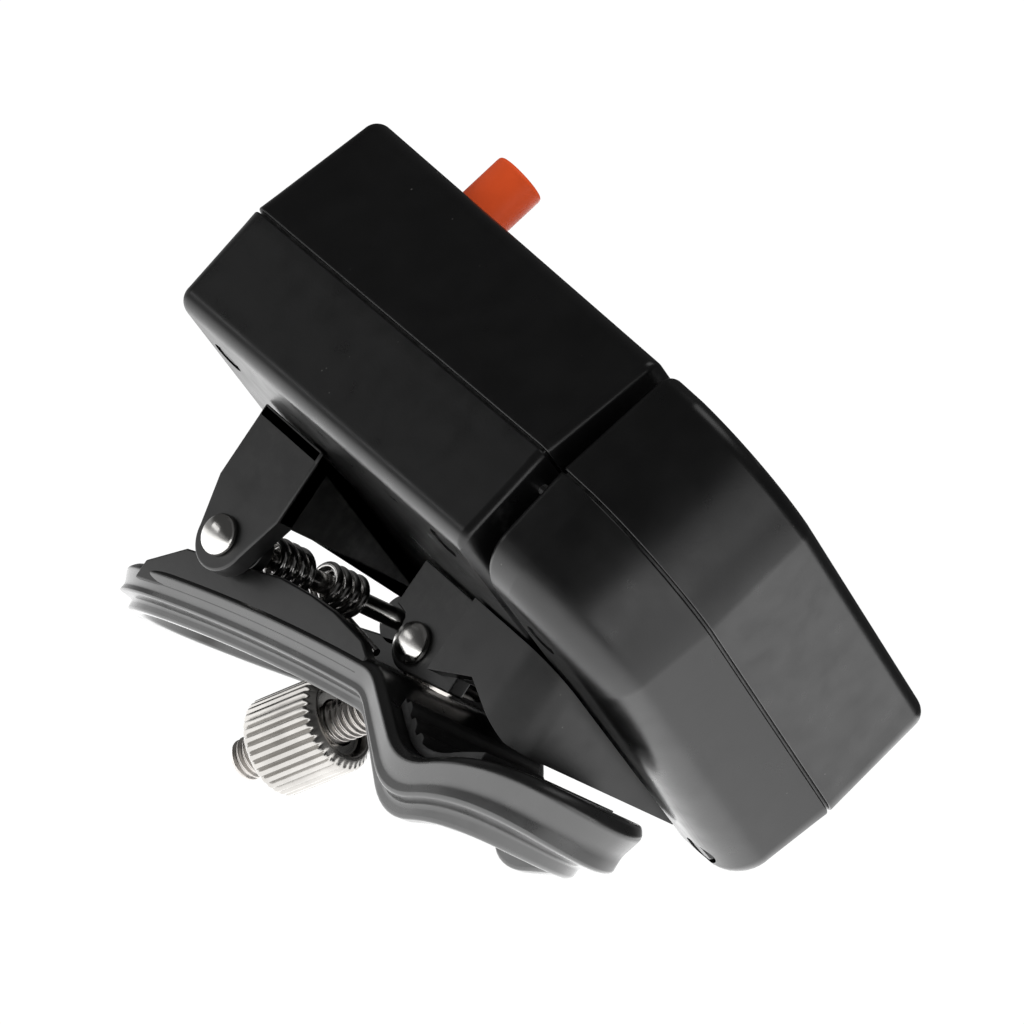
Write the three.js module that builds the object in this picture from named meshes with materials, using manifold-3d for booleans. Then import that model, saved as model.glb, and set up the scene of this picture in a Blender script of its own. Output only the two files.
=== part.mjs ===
// A fishing line counter that clamps onto a rod.
// Lengths are in millimetres. The origin is the middle of the clamped rod: +Y runs along the
// rod, +X runs across it towards the rounded nose, and +Z points up from the rod.
// The housing stands on the clamp bracket and leans about X. Inside the housing group, x runs
// from its left end towards the nose, y from its near side to its far side, and z up from the
// seam between its upper and lower halves.
import * as THREE from 'three';
import { mergeVertices } from 'three/addons/utils/BufferGeometryUtils.js';
import Module from 'manifold-3d';

const wasm = await Module();
wasm.setup();

// Housing
const housingTilt = 18.5;
const housingDepth = 59.3;
const blockLength = 55.5;
const slotWidth = 1.8;
const noseReach = 14.1;
const noseFarReach = 9.3;
const noseBend = 19;
const noseNearInset = 1.2;
const upperRise = 16.1;
const slotRise = 14.7;
const lowerDrop = 12.7;
const seamGap = 0.3;
const draftAngle = 5.5;
const noseDraftAngle = 1.4;
const noseLowDraftAngle = 5.5;
const edgeFillet = 2;
const noseLowFillet = 4.8;
const slotFillet = 0.8;
const leftCornerRadius = 3.2;
const slotCornerRadius = 0.9;
const noseCornerRadius = 4.5;
const leastRadius = 0.3;
const cavityFillet = 0.6;
const wall = 2;
const cornerSteps = 4;
const filletSteps = 3;
const noseSteps = 9;
const domeSteps = 4;

// Place of the housing over the rod
const slotPastRod = 4.1;
const wheelPastClamp = 4;
const farDrop = 1.16;

// General fits
const restGap = 0.3;
const runGap = 0.25;
const overrun = 5;
const roundParts = 18;
const smallParts = 10;
const wheelParts = 28;

// Screws
const screwHeadRadius = 1.7;
const screwHeadHeight = 1.2;
const screwCrownShare = 0.6;
const screwShankRadius = 0.8;
const screwHoleRadius = 1.05;
const screwHeadSink = 1.5;
const screwBite = 7;
const bossRadius = 2.5;
const caseScrewInset = 6.4;
const noseScrewReach = 4.6;
const bracketBossRadius = 2.3;
const bracketScrewBite = 6;
const leftScrewReach = 39.5;
const farScrewReach = 26.5;
const leftScrewGap = 0.75;
const farScrewGap = 1.1;
const rodScrewLead = 4.6;

// Window over the number drums
const windowSide = 1.15;
const windowDepth = 11;
const windowLedge = 1.2;
const windowThickness = 1.1;

// Reset button
const buttonX = 14;
const buttonY = 11;
const buttonRadius = 3.1;
const buttonRise = 6.6;
const buttonEdge = 0.6;
const buttonFlangeRadius = 4.2;
const buttonFlange = 1.2;
const buttonStemRadius = 1.5;
const buttonStemLength = 15;
const buttonSpringWire = 0.5;
const buttonSpringTurns = 6;
const buttonPostRadius = 3.4;
const buttonPostTop = 1;

// Measuring wheel and its worm drive
const wheelRadius = 8.983;
const wheelProud = 0.9;
const wheelWidth = 4;
const wheelMiddle = 2.4;
const wheelPastButton = 18;
const tyreDepth = 1.4;
const wheelWeb = 1.6;
const hubRadius = 2.4;
const axleRadius = 1;
const bushRadius = 1.9;
const bushLength = 2.4;
const bushBossWall = 1.1;
const axleTop = 9.6;
const wormPitchRadius = 2.3;
const wormLength = 6.4;
const wormDrop = 5.3;
const gearModule = 0.5;
const wormGearTeeth = 18;
const gearFace = 2.2;
const toothAddendumShare = 0.85;
const toothDedendumShare = 1.15;
const toothTipShare = 0.2;
const toothRootShare = 0.66;
const toothSlack = 0.14;

// Drum train
const drumRadius = 7.6;
const wheelClear = 1.534;
const drumGap = 0.8;
const drumWall = 1.2;
const drumCount = 3;
const pinionTeeth = 10;
const drumGearTeeth = 30;
const drumShaftRise = 3.3;
const frameLeft = 5.6;
const framePlate = 1.1;
const gearShaftRadius = 0.9;
const shaftEnd = 1.2;
const transferModule = 0.65;
const transferTeeth = 8;
const transferGearTeeth = 20;
const transferAngle = 205;
const transferFace = 1.8;
const transferShaftRadius = 0.7;
const leverPastButton = 8.5;
const leverPinZ = 11;
const leverPinRadius = 0.7;
const leverTubeRadius = 1.5;
const leverThickness = 1;
const leverReach = 6;
const leverWidth = 5;
const fingerReach = 2.8;
const fingerWidth = 2;
const frameMargin = 2.2;

// Pinch wheel in the nose
const pinchRadius = 5;
const pinchWidth = 3.6;
const pinchAxleRadius = 0.9;
const lineRoom = 0.3;
const pinchPivotLead = 5.5;
const pinchArmThickness = 1.5;
const pinchArmWidth = 4.4;
const pinchPivotRadius = 1.1;
const pinchSpringThickness = 0.4;

// Line guides across the slot
const guideRadius = 0.6;
const guideEnd = 2.6;
const guideInset = 4;
const guideDrop = 2.4;

// Clamp bracket
const lugWidth = 17.2;
const lugThickness = 2.6;
const jawPinX = -35;
const jawPinZ = -0.3;
const lugLeft = 5.5;
const lugRight = 5.6;
const lugRound = 3.8;
const lugShoulder = 4.8;
const webThickness = 2.4;
const baseThickness = 1.5;
const boltPinX = -11.4;
const boltPinZ = 3.1;
const boltLugWidth = 8.8;
const boltLugThickness = 2.4;
const boltLugLeft = 5.4;
const boltLugRound = 3.1;
const boltLugStep = 2;
const skirtNear = 11;
const skirtLeft = 5.8;
const skirtEnd = 8.8;
const skirtBottom = 1.8;
const skirtWall = 2.1;
const skirtCorner = 5;
const notchTop = 5;
const notchAngle = 23.3;
const linkLead = 1.36;
const linkWidth = 5.7;
const rodRoomRadius = 5.4;
const rodRoomWall = 1.8;

// Pins of the clamp
const pinRadius = 1.15;
const rivetRadius = 2.3;
const rivetDome = 1.5;

// Lower jaw, drawn at rest
const jawHalfWidth = 14;
const jawFarWidth = 10.5;
const jawLeft = -55.8;
const jawRight = 18.8;
const jawLeftZ = -11.9;
const jawCrestX = -9.4;
const jawCrestZ = -0.1;
const jawValleyX = 0.9;
const jawValleyZ = -5.6;
const jawRightZ = 2.1;
const jawLeftBulge = 1.1;
const jawRightBulge = 1.9;
const crestRound = 1.4;
const valleyRound = 3.4;
const jawBevel = 1.2;
const jawSide = 2.2;
const jawSideLow = 3.2;
const jawChamfer = 0.5;
const jawPlate = 2.1;
const jawRimInset = 2.4;
const jawRimWall = 1.8;
const jawRimDrop = 5.2;
const jawSideRightDrop = 0.9;
const jawLowRightDrop = 2.7;
const jawRimRightDrop = 4;
const jawRimTuck = 3;
const jawWallOut = 13.6;
const jawWallThickness = 1.6;
const jawWallCrown = [[-11.2, -8.2], [-7, -4.3], [2.5, -1.3], [7, 0.2], [12.2, 1], [16.3, 1.3],
  [21.8, 1], [23.7, 0.1]];
const jawEndSteps = 6;
const crestShares = [-1, -0.4, 0, 0.4, 1];
const earRadius = 2.9;
const boltSlotWidth = 5.8;
const boltSlotLeft = -23.4;
const boltSlotRight = -10.4;

// Pads that hold the rod
const padThickness = 1;
const padNear = 11.5;
const padFar = 9.5;
const padLeft = 6.4;
const padRight = 7;
const padGap = 0.1;
const padRibs = 3;
const padRibHeight = 0.7;
const padRibWidth = 1.2;
const padRibStepShare = 1.5;
const padRibTopShare = 0.6;
const upperPadFar = 2;

// Swing bolt, washer and knurled nut
const boltLean = 39.7;
const boltRadius = 2.35;
const boltLength = 30.9;
const boltEyeRadius = 2.8;
const boltEyeNear = -6.1;
const boltEyeFar = 3;
const boltTip = 0.5;
const nutRadius = 5.42;
const nutInner = 16.8;
const nutLength = 10;
const nutRibs = 34;
const nutRibHeight = 0.42;
const nutEdge = 0.7;
const nutRibShares = [-0.32, -0.16, 0.16, 0.32];
const nutRecessRadius = 4;
const nutRecess = 1.7;
const washerRadius = 3.6;
const washerThickness = 0.8;

// Torsion spring on the jaw pin
const coilRadius = 2.15;
const coilWire = 0.95;
const coilPitch = 1.45;
const coilTurns = 4;
const coilTurn = 23;
const coilStart = -118;
const innerLeg = 5.6;
const outerLeg = 7.2;
const springMiddle = -2.9;
const springSpan = 3.2;
const curlSteps = 8;
const wireSides = 5;

// Materials
function material(color, roughness, metalness = 0) {
  return new THREE.MeshStandardMaterial({ color, roughness, metalness });
}
const blackPlastic = material(0x161616, 0.42);
const clampPlastic = material(0x1b1b1b, 0.5);
const orangePlastic = material(0xe6501e, 0.4);
const clearPlastic = material(0xcfd8dc, 0.08);
const whitePlastic = material(0xe8e8e4, 0.5);
const greyPlastic = material(0x4a4d50, 0.55);
const rubber = material(0x0d0d0d, 0.85);
const steel = material(0xb4b4b2, 0.3, 1);
const brass = material(0xb08d4a, 0.35, 1);

// Solids
const quarter = Math.PI / 2;
const turn = Math.PI * 2;
const radians = THREE.MathUtils.degToRad;

// Joins equal corners and leaves out triangles that have no area
function closed(geometry) {
  const bare = geometry.clone();
  bare.deleteAttribute('normal');
  bare.deleteAttribute('uv');
  const merged = mergeVertices(bare);
  const all = merged.index.array;
  const kept = [];
  for (let i = 0; i < all.length; i += 3) {
    const [a, b, c] = [all[i], all[i + 1], all[i + 2]];
    if (a !== b && b !== c && c !== a) kept.push(a, b, c);
  }
  merged.setIndex(kept);
  return merged;
}

function toSolid(geometry) {
  const shape = closed(geometry);
  return new wasm.Manifold(new wasm.Mesh({
    numProp: 3,
    vertProperties: new Float32Array(shape.attributes.position.array),
    triVerts: new Uint32Array(shape.index.array),
  }));
}

function toGeometry(solid) {
  const mesh = solid.getMesh();
  const geometry = new THREE.BufferGeometry();
  geometry.setAttribute('position', new THREE.BufferAttribute(mesh.vertProperties, 3));
  geometry.setIndex(new THREE.BufferAttribute(mesh.triVerts, 1));
  return geometry;
}

function join(...geometries) {
  return toGeometry(geometries.map(toSolid).reduce((whole, next) => whole.add(next)));
}

function cut(geometry, ...tools) {
  return toGeometry(tools.map(toSolid).reduce((whole, tool) => whole.subtract(tool), toSolid(geometry)));
}

function common(first, second) {
  return toGeometry(toSolid(first).intersect(toSolid(second)));
}

function box(x0, x1, y0, y1, z0, z1) {
  const geometry = new THREE.BoxGeometry(x1 - x0, y1 - y0, z1 - z0);
  return geometry.translate((x0 + x1) / 2, (y0 + y1) / 2, (z0 + z1) / 2);
}

function rodX(radius, x0, x1, y, z, parts = smallParts) {
  const geometry = new THREE.CylinderGeometry(radius, radius, x1 - x0, parts);
  return geometry.rotateZ(quarter).translate((x0 + x1) / 2, y, z);
}

function rodY(radius, y0, y1, x, z, parts = roundParts) {
  const geometry = new THREE.CylinderGeometry(radius, radius, y1 - y0, parts);
  return geometry.translate(x, (y0 + y1) / 2, z);
}

function rodZ(radius, z0, z1, x, y, parts = smallParts) {
  const geometry = new THREE.CylinderGeometry(radius, radius, z1 - z0, parts);
  return geometry.rotateX(quarter).translate(x, y, (z0 + z1) / 2);
}

// A turned shape about Z from an outline of radius and height, outer side upwards
function turned(outline, parts = roundParts) {
  const points = outline.map(([radius, height]) => new THREE.Vector2(radius, height));
  return closed(new THREE.LatheGeometry(points, parts).rotateX(quarter));
}

// A flat outline pushed along one axis; its two numbers are the other two axes in order
function pushed(outline, from, to, axes) {
  const shape = new THREE.Shape(outline.map(([a, b]) => new THREE.Vector2(a, b)));
  const geometry = new THREE.ExtrudeGeometry(shape, { depth: to - from, bevelEnabled: false });
  geometry.translate(0, 0, from);
  return closed(geometry.applyMatrix4(axes));
}
const unitX = new THREE.Vector3(1, 0, 0);
const unitY = new THREE.Vector3(0, 1, 0);
const unitZ = new THREE.Vector3(0, 0, 1);
const alongX = new THREE.Matrix4().makeBasis(unitY, unitZ, unitX);
const alongY = new THREE.Matrix4().makeBasis(unitX, unitZ, unitY.clone().negate());
const alongZ = new THREE.Matrix4();

function pushedX(outline, x0, x1) {
  return pushed(outline, x0, x1, alongX);
}
function pushedY(outline, y0, y1) {
  return pushed(outline, -y1, -y0, alongY);
}
function pushedZ(outline, z0, z1) {
  return pushed(outline, z0, z1, alongZ);
}

function arc(x, y, radius, from, to, steps) {
  return Array.from({ length: steps + 1 }, (_, i) => {
    const angle = radians(from + (to - from) * i / steps);
    return [x + radius * Math.cos(angle), y + radius * Math.sin(angle)];
  });
}

// A closed skin over equal rings of points, from the lowest ring to the highest
function lofted(rings) {
  const count = rings[0].length;
  const corners = rings.flat().flatMap((point) => [point.x, point.y, point.z]);
  const index = [];
  for (let ring = 0; ring + 1 < rings.length; ring += 1) {
    for (let i = 0; i < count; i += 1) {
      const a = ring * count + i;
      const b = ring * count + (i + 1) % count;
      index.push(a, b, b + count, a, b + count, a + count);
    }
  }
  const cap = (ring) => THREE.ShapeUtils.triangulateShape(ring.map((p) => new THREE.Vector2(p.x, p.y)), []);
  const last = (rings.length - 1) * count;
  for (const [a, b, c] of cap(rings[0])) index.push(c, b, a);
  for (const [a, b, c] of cap(rings[rings.length - 1])) index.push(last + a, last + b, last + c);
  const geometry = new THREE.BufferGeometry();
  geometry.setAttribute('position', new THREE.Float32BufferAttribute(corners, 3));
  geometry.setIndex(index);
  return geometry;
}

// One unbroken wire along a list of points
function wire(points, radius, sides) {
  const rings = [];
  let normal = new THREE.Vector3();
  points.forEach((point, i) => {
    const before = points[Math.max(i - 1, 0)];
    const after = points[Math.min(i + 1, points.length - 1)];
    const along = after.clone().sub(before).normalize();
    if (i === 0) normal.crossVectors(along, Math.abs(along.y) < 0.9 ? unitY : unitX).normalize();
    normal = normal.clone().addScaledVector(along, -normal.dot(along)).normalize();
    const side = along.clone().cross(normal);
    rings.push(Array.from({ length: sides }, (_, k) => {
      const angle = turn * k / sides;
      const ring = point.clone().addScaledVector(normal, radius * Math.cos(angle));
      return ring.addScaledVector(side, radius * Math.sin(angle));
    }));
  });
  const index = [];
  for (let ring = 0; ring + 1 < rings.length; ring += 1) {
    for (let k = 0; k < sides; k += 1) {
      const a = ring * sides + k;
      const b = ring * sides + (k + 1) % sides;
      index.push(a, b, b + sides, a, b + sides, a + sides);
    }
  }
  const last = (rings.length - 1) * sides;
  for (let k = 1; k + 1 < sides; k += 1) {
    index.push(0, k + 1, k);
    index.push(last, last + k, last + k + 1);
  }
  const geometry = new THREE.BufferGeometry();
  const corners = rings.flat().flatMap((p) => [p.x, p.y, p.z]);
  geometry.setAttribute('position', new THREE.Float32BufferAttribute(corners, 3));
  geometry.setIndex(index);
  return geometry;
}

// Least clear distance between turns of a wire, measured on its points
function leastGap(points, diameter, apart) {
  let least = Infinity;
  for (let i = 0; i < points.length; i += 1) {
    for (let j = i + apart; j < points.length; j += 1) {
      least = Math.min(least, points[i].distanceTo(points[j]) - diameter);
    }
  }
  return least;
}

// Outline with its own inward shift on each side and a radius at each corner.
// Each corner is { x, y, shift, radius, steps }; shift belongs to the side that leaves it.
function insetOutline(corners) {
  const count = corners.length;
  const lines = corners.map((corner, i) => {
    const next = corners[(i + 1) % count];
    const length = Math.hypot(next.x - corner.x, next.y - corner.y);
    const dx = (next.x - corner.x) / length;
    const dy = (next.y - corner.y) / length;
    return { x: corner.x - dy * corner.shift, y: corner.y + dx * corner.shift, dx, dy };
  });
  return corners.flatMap((corner, i) => {
    const a = lines[(i + count - 1) % count];
    const b = lines[i];
    const cross = a.dx * b.dy - a.dy * b.dx;
    const along = ((b.x - a.x) * b.dy - (b.y - a.y) * b.dx) / cross;
    const x = a.x + a.dx * along;
    const y = a.y + a.dy * along;
    if (!corner.steps) return [[x, y]];
    const bend = Math.atan2(cross, a.dx * b.dx + a.dy * b.dy);
    const back = corner.radius * Math.tan(bend / 2);
    const startX = x - a.dx * back - a.dy * corner.radius;
    const startY = y - a.dy * back + a.dx * corner.radius;
    const from = Math.atan2(-a.dx, a.dy);
    return Array.from({ length: corner.steps + 1 }, (_, k) => {
      const angle = from + bend * k / corner.steps;
      return [startX + corner.radius * Math.cos(angle), startY + corner.radius * Math.sin(angle)];
    });
  });
}

// Shells of the housing
const blockDraft = Math.tan(radians(draftAngle));
const noseDraft = Math.tan(radians(noseDraftAngle));
const noseLowDraft = Math.tan(radians(noseLowDraftAngle));
const slotStart = blockLength;
const slotEnd = blockLength + slotWidth;

function blockOutline(shift, slotShift) {
  const left = Math.max(leftCornerRadius - shift, leastRadius);
  const slot = Math.max(slotCornerRadius - slotShift, leastRadius);
  return insetOutline([
    { x: 0, y: 0, shift, radius: left, steps: cornerSteps },
    { x: slotStart, y: 0, shift: slotShift, radius: slot, steps: 2 },
    { x: slotStart, y: housingDepth, shift, radius: slot, steps: 2 },
    { x: 0, y: housingDepth, shift, radius: left, steps: cornerSteps },
  ]);
}

// The near side of the nose is a quarter of an ellipse, and its end runs straight to the far corner
function noseOutline(shift, slotShift) {
  const slot = Math.max(slotCornerRadius - slotShift, leastRadius);
  const far = Math.max(noseCornerRadius - shift, leastRadius);
  const reach = noseBend - noseNearInset;
  const bow = Array.from({ length: noseSteps - 1 }, (_, i) => {
    const angle = quarter * (i + 2) / noseSteps;
    return {
      x: slotEnd + noseReach * Math.sin(angle),
      y: noseBend - reach * Math.cos(angle),
      shift,
    };
  });
  return insetOutline([
    { x: slotEnd, y: noseNearInset, shift, radius: slot, steps: 2 },
    ...bow,
    { x: slotEnd + noseFarReach, y: housingDepth, shift, radius: far, steps: cornerSteps },
    { x: slotEnd, y: housingDepth, shift: slotShift, radius: slot, steps: 2 },
  ]);
}

// The top falls from the left end to the slot and then stays level
const fallShare = 1 - slotRise / upperRise;
function fallenZ(x, z) {
  return z > 0 ? z * (1 - fallShare * Math.min(x / blockLength, 1)) : z;
}
function fallen(geometry) {
  const place = geometry.attributes.position;
  for (let i = 0; i < place.count; i += 1) place.setZ(i, fallenZ(place.getX(i), place.getZ(i)));
  return geometry;
}

// Half of a shell as a solid: side is 1 above the seam and -1 below it
function shellBody(outline, draft, edge, side, rise, start, inner) {
  const fillet = edge - inner;
  const rows = [{ z: start, shift: inner + Math.max(start, 0) * draft, slot: inner }];
  for (let i = 0; i <= filletSteps; i += 1) {
    const angle = quarter * i / filletSteps;
    rows.push({
      z: rise - inner - fillet + fillet * Math.sin(angle),
      shift: inner + (rise - edge) * draft + fillet * (1 - Math.cos(angle)),
      slot: inner + (inner ? 0 : slotFillet * (1 - Math.cos(angle))),
    });
  }
  const rings = rows.map(({ z, shift, slot }) => outline(shift, slot)
    .map(([x, y]) => new THREE.Vector3(x, y, fallenZ(x, side * z))));
  return lofted(side > 0 ? rings : rings.reverse());
}

function hollowShell(outline, draft, edge, side, rise) {
  const inner = edge - cavityFillet;
  const outside = shellBody(outline, draft, edge, side, rise, seamGap / 2, 0);
  const inside = shellBody((shift, slot) => outline(shift + wall - inner, slot + wall - inner), draft, edge,
    side, rise - wall + inner, -overrun, inner);
  return cut(outside, inside);
}

// Housing places that other pieces share
const wheelX = slotStart + wheelProud - wheelRadius;
const wheelY = buttonY + wheelPastButton;
const leverPinY = buttonY + leverPastButton;
const clampMiddle = wheelY - wheelPastClamp;
const lean = radians(housingTilt);
const seamHeight = housingDepth * Math.sin(lean) + lowerDrop * Math.cos(lean) - farDrop;
const caseScrews = [
  [caseScrewInset, caseScrewInset + wall],
  [caseScrewInset, housingDepth - caseScrewInset],
  [slotStart - caseScrewInset, caseScrewInset],
  [slotStart - caseScrewInset, housingDepth - caseScrewInset],
];
const noseScrews = [
  [slotEnd + noseScrewReach, caseScrewInset * 2],
  [slotEnd + noseScrewReach, housingDepth - caseScrewInset],
];
const wheelTop = wheelMiddle + wheelWidth / 2;
const wheelWindow = wheelRadius - wheelProud;
const windowX = frameLeft + framePlate + drumGap + gearFace + drumGap;
const wormGearX = wheelX;
const wormGearRadius = gearModule * wormGearTeeth / 2;
const gearShaftY = wheelY + wormPitchRadius + wormGearRadius;
const pinionRadius = gearModule * pinionTeeth / 2;
const drumGearRadius = gearModule * drumGearTeeth / 2;
const drumDrop = drumShaftRise + wormDrop;
const drumY = gearShaftY - Math.sqrt((pinionRadius + drumGearRadius) ** 2 - drumDrop ** 2);
const drumStart = frameLeft + framePlate + drumGap;
const firstDrum = drumStart + gearFace + restGap;
const frameRight = wheelX - wheelRadius - wheelClear - framePlate;
const drumStep = (frameRight - firstDrum) / drumCount;
const drumWidth = drumStep - drumGap - transferFace;
const transferRadius = transferModule * transferTeeth / 2;
const transferGearRadius = transferModule * transferGearTeeth / 2;
const transferReach = transferRadius + transferGearRadius;
const transferY = drumY + transferReach * Math.cos(radians(transferAngle));
const transferZ = drumShaftRise + transferReach * Math.sin(radians(transferAngle));
const pinchX = slotEnd + (slotStart + wheelProud - slotEnd) + lineRoom + pinchRadius;
const pinchPivotY = housingDepth - caseScrewInset - pinchPivotLead;
const pinchArmLength = pinchPivotY - wheelY;
const pinchBottom = wheelMiddle - pinchWidth / 2;
const floorZ = wall - lowerDrop;
const guidePlaces = [guideInset, housingDepth - guideInset];

// The frame has two end plates on a floor plate that stands on the floor of the lower case
const frameFloor = floorZ + restGap;
const frameNear = transferY - transferShaftRadius * 2;
const frameFar = gearShaftY + frameMargin;
const bracketScrews = [
  [slotStart - leftScrewReach, frameNear - bracketBossRadius - leftScrewGap],
  [slotStart - farScrewReach, frameFar + bracketBossRadius + farScrewGap],
  [slotStart - slotPastRod, wheelY - rodScrewLead],
];

function roofZ(x) {
  return fallenZ(x, upperRise - wall);
}
const windowMiddle = (windowX + frameRight) / 2;
const windowWidth = frameRight - windowX - windowSide * 2;

function upperCase() {
  const boss = caseScrews.map(([x, y]) => rodZ(bossRadius, seamGap, roofZ(x) + wall / 2, x, y));
  const bushRoom = axleTop - bushLength;
  const bushBoss = rodZ(bushRadius + bushBossWall, bushRoom, roofZ(wheelX) + wall / 2, wheelX, wheelY);
  const lensX = windowWidth / 2;
  const lensY = windowDepth / 2;
  const lensSeat = upperRise - windowThickness - restGap;
  return cut(
    join(hollowShell(blockOutline, blockDraft, edgeFillet, 1, upperRise), ...boss, bushBoss),
    ...caseScrews.map(([x, y]) => rodZ(screwShankRadius + restGap / 2, -overrun, screwBite, x, y)),
    rodZ(bushRadius + runGap / 2, -overrun, axleTop + restGap, wheelX, wheelY),
    rodZ(buttonRadius + runGap, 0, upperRise + overrun, buttonX, buttonY, roundParts),
    box(slotStart - wall - overrun, slotStart + overrun, wheelY - wheelWindow, wheelY + wheelWindow,
      -overrun, wheelTop + restGap * 2),
    box(windowMiddle - lensX, windowMiddle + lensX, drumY - lensY, drumY + lensY, 0, upperRise + overrun),
    fallen(box(windowMiddle - lensX - windowLedge, windowMiddle + lensX + windowLedge,
      drumY - lensY - windowLedge, drumY + lensY + windowLedge, lensSeat, upperRise + overrun)),
    ...guidePlaces.map((y) => rodX(guideRadius + runGap, slotStart - guideEnd - restGap,
      slotStart + overrun, y, -guideDrop)),
  );
}

// The rod passes under the far side of the block, which has a round channel for it
function intoHousing(geometry) {
  housing.updateMatrix();
  return geometry.applyMatrix4(housing.matrix.clone().invert());
}
function rodRoom(skin) {
  return intoHousing(rodY(rodRoomRadius + skin, -housingDepth, housingDepth, 0, 0, roundParts + smallParts));
}
function rodRoomSkin() {
  const lower = shellBody(blockOutline, blockDraft, edgeFillet, -1, lowerDrop, seamGap / 2, 0);
  return common(rodRoom(rodRoomWall), lower);
}

function lowerCase() {
  const boss = caseScrews.map(([x, y]) => rodZ(bossRadius, floorZ - wall / 2, -seamGap, x, y));
  const floor = floorZ - wall / 2;
  const bushBoss = rodZ(bushRadius + bushBossWall, floor, floorZ + bushLength / 2, wheelX, wheelY);
  const post = box(wormGearX + gearFace, wormGearX + gearFace + wall, gearShaftY - wall, gearShaftY + wall,
    floor, wall - wormDrop);
  const buttonPost = rodZ(buttonPostRadius, floor, buttonPostTop, buttonX, buttonY);
  const mountBoss = bracketScrews.map(([x, y]) => rodZ(bracketBossRadius, floor,
    bracketScrewBite - lowerDrop + wall / 2, x, y));
  const heads = caseScrews.flatMap(([x, y]) => [
    rodZ(screwHoleRadius, -lowerDrop - overrun, overrun, x, y),
    rodZ(screwHeadRadius + runGap, -lowerDrop - overrun, screwHeadSink - lowerDrop, x, y),
  ]);
  return cut(
    join(hollowShell(blockOutline, blockDraft, edgeFillet, -1, lowerDrop), rodRoomSkin(), ...boss, bushBoss,
      post, buttonPost, ...mountBoss),
    ...heads,
    rodRoom(0),
    ...bracketScrews.map(([x, y]) => rodZ(screwShankRadius + restGap / 2, -lowerDrop - overrun,
      bracketScrewBite - lowerDrop, x, y)),
    rodZ(bushRadius + runGap / 2, floorZ - wall / 2, overrun, wheelX, wheelY),
    rodX(gearShaftRadius + runGap, wormGearX, slotStart - wall, gearShaftY, -wormDrop),
    rodZ(buttonStemRadius + runGap, floorZ, overrun, buttonX, buttonY),
    ...guidePlaces.map((y) => rodX(guideRadius + restGap / 2, slotStart - guideEnd - restGap,
      slotStart + overrun, y, -guideDrop)),
  );
}

function noseUpperCase() {
  const roof = roofZ(slotEnd) + wall / 2;
  const boss = noseScrews.map(([x, y]) => rodZ(bossRadius, seamGap, roof, x, y));
  const post = rodZ(pinchPivotRadius + wall / 2, wheelMiddle + wheelWidth, roof, pinchX, pinchPivotY);
  return cut(
    join(hollowShell(noseOutline, noseDraft, edgeFillet, 1, upperRise), ...boss, post),
    ...noseScrews.map(([x, y]) => rodZ(screwShankRadius + restGap / 2, -overrun, screwBite, x, y)),
    rodZ(pinchPivotRadius + runGap / 2, 0, roof - wall, pinchX, pinchPivotY),
    box(slotEnd - overrun, slotEnd + wall + overrun, wheelY - wheelWindow, wheelY + wheelWindow,
      -overrun, wheelTop + restGap * 2),
  );
}

function noseLowerCase() {
  const floor = floorZ - wall / 2;
  const boss = noseScrews.map(([x, y]) => rodZ(bossRadius, floor, -seamGap, x, y));
  const armFloor = pinchBottom - restGap - pinchArmThickness - restGap;
  const post = rodZ(pinchPivotRadius + wall / 2, floor, armFloor, pinchX, pinchPivotY);
  const heads = noseScrews.flatMap(([x, y]) => [
    rodZ(screwHoleRadius, -lowerDrop - overrun, overrun, x, y),
    rodZ(screwHeadRadius + runGap, -lowerDrop - overrun, screwHeadSink - lowerDrop, x, y),
  ]);
  return cut(
    join(hollowShell(noseOutline, noseLowDraft, noseLowFillet, -1, lowerDrop), ...boss, post),
    ...heads,
    rodZ(pinchPivotRadius + runGap / 2, floorZ + wall, overrun, pinchX, pinchPivotY),
    ...guidePlaces.map((y) => rodX(guideRadius + restGap / 2, slotEnd - overrun,
      slotEnd + guideEnd + restGap, y, -guideDrop)),
  );
}

function windowLens() {
  const lensX = windowWidth / 2 + windowLedge - restGap;
  const lensY = windowDepth / 2 + windowLedge - restGap;
  return fallen(box(windowMiddle - lensX, windowMiddle + lensX, drumY - lensY, drumY + lensY,
    upperRise - windowThickness, upperRise - restGap / 2));
}

// A pan-head screw that enters upwards from the height of its head's underside
function screw(length) {
  const crown = screwHeadHeight * screwCrownShare;
  return turned([
    [0, -screwHeadHeight], [screwHeadRadius - crown / 2, -screwHeadHeight], [screwHeadRadius, -crown],
    [screwHeadRadius, 0], [screwShankRadius, 0], [screwShankRadius, length - screwShankRadius],
    [0, length],
  ], smallParts);
}

// Gears
function toothed(teeth, module, bore) {
  const pitch = module * teeth / 2;
  const tip = pitch + module * toothAddendumShare;
  const root = pitch - module * toothDedendumShare;
  const step = turn / teeth;
  const tipHalf = step * toothTipShare / 2;
  const rootHalf = step * toothRootShare / 2 - toothSlack / pitch;
  const shape = new THREE.Shape();
  for (let i = 0; i < teeth; i += 1) {
    const middle = step * (i + 0.5);
    const places = [[root, -rootHalf], [tip, -tipHalf], [tip, tipHalf], [root, rootHalf]];
    places.forEach(([radius, angle], k) => {
      const x = radius * Math.cos(middle + angle);
      const y = radius * Math.sin(middle + angle);
      if (i === 0 && k === 0) shape.moveTo(x, y);
      else shape.lineTo(x, y);
    });
  }
  shape.closePath();
  if (bore) shape.holes.push(new THREE.Path().absarc(0, 0, bore, 0, turn, true));
  return shape;
}

// A gear about X at its own origin, turned so that a gap or a tooth faces the mesh
function gearX(teeth, module, bore, width, facing) {
  const shape = toothed(teeth, module, bore);
  const geometry = new THREE.ExtrudeGeometry(shape, { depth: width, bevelEnabled: false, curveSegments: 4 });
  geometry.translate(0, 0, -width / 2).rotateZ(facing);
  return closed(geometry.applyMatrix4(alongX));
}

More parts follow.
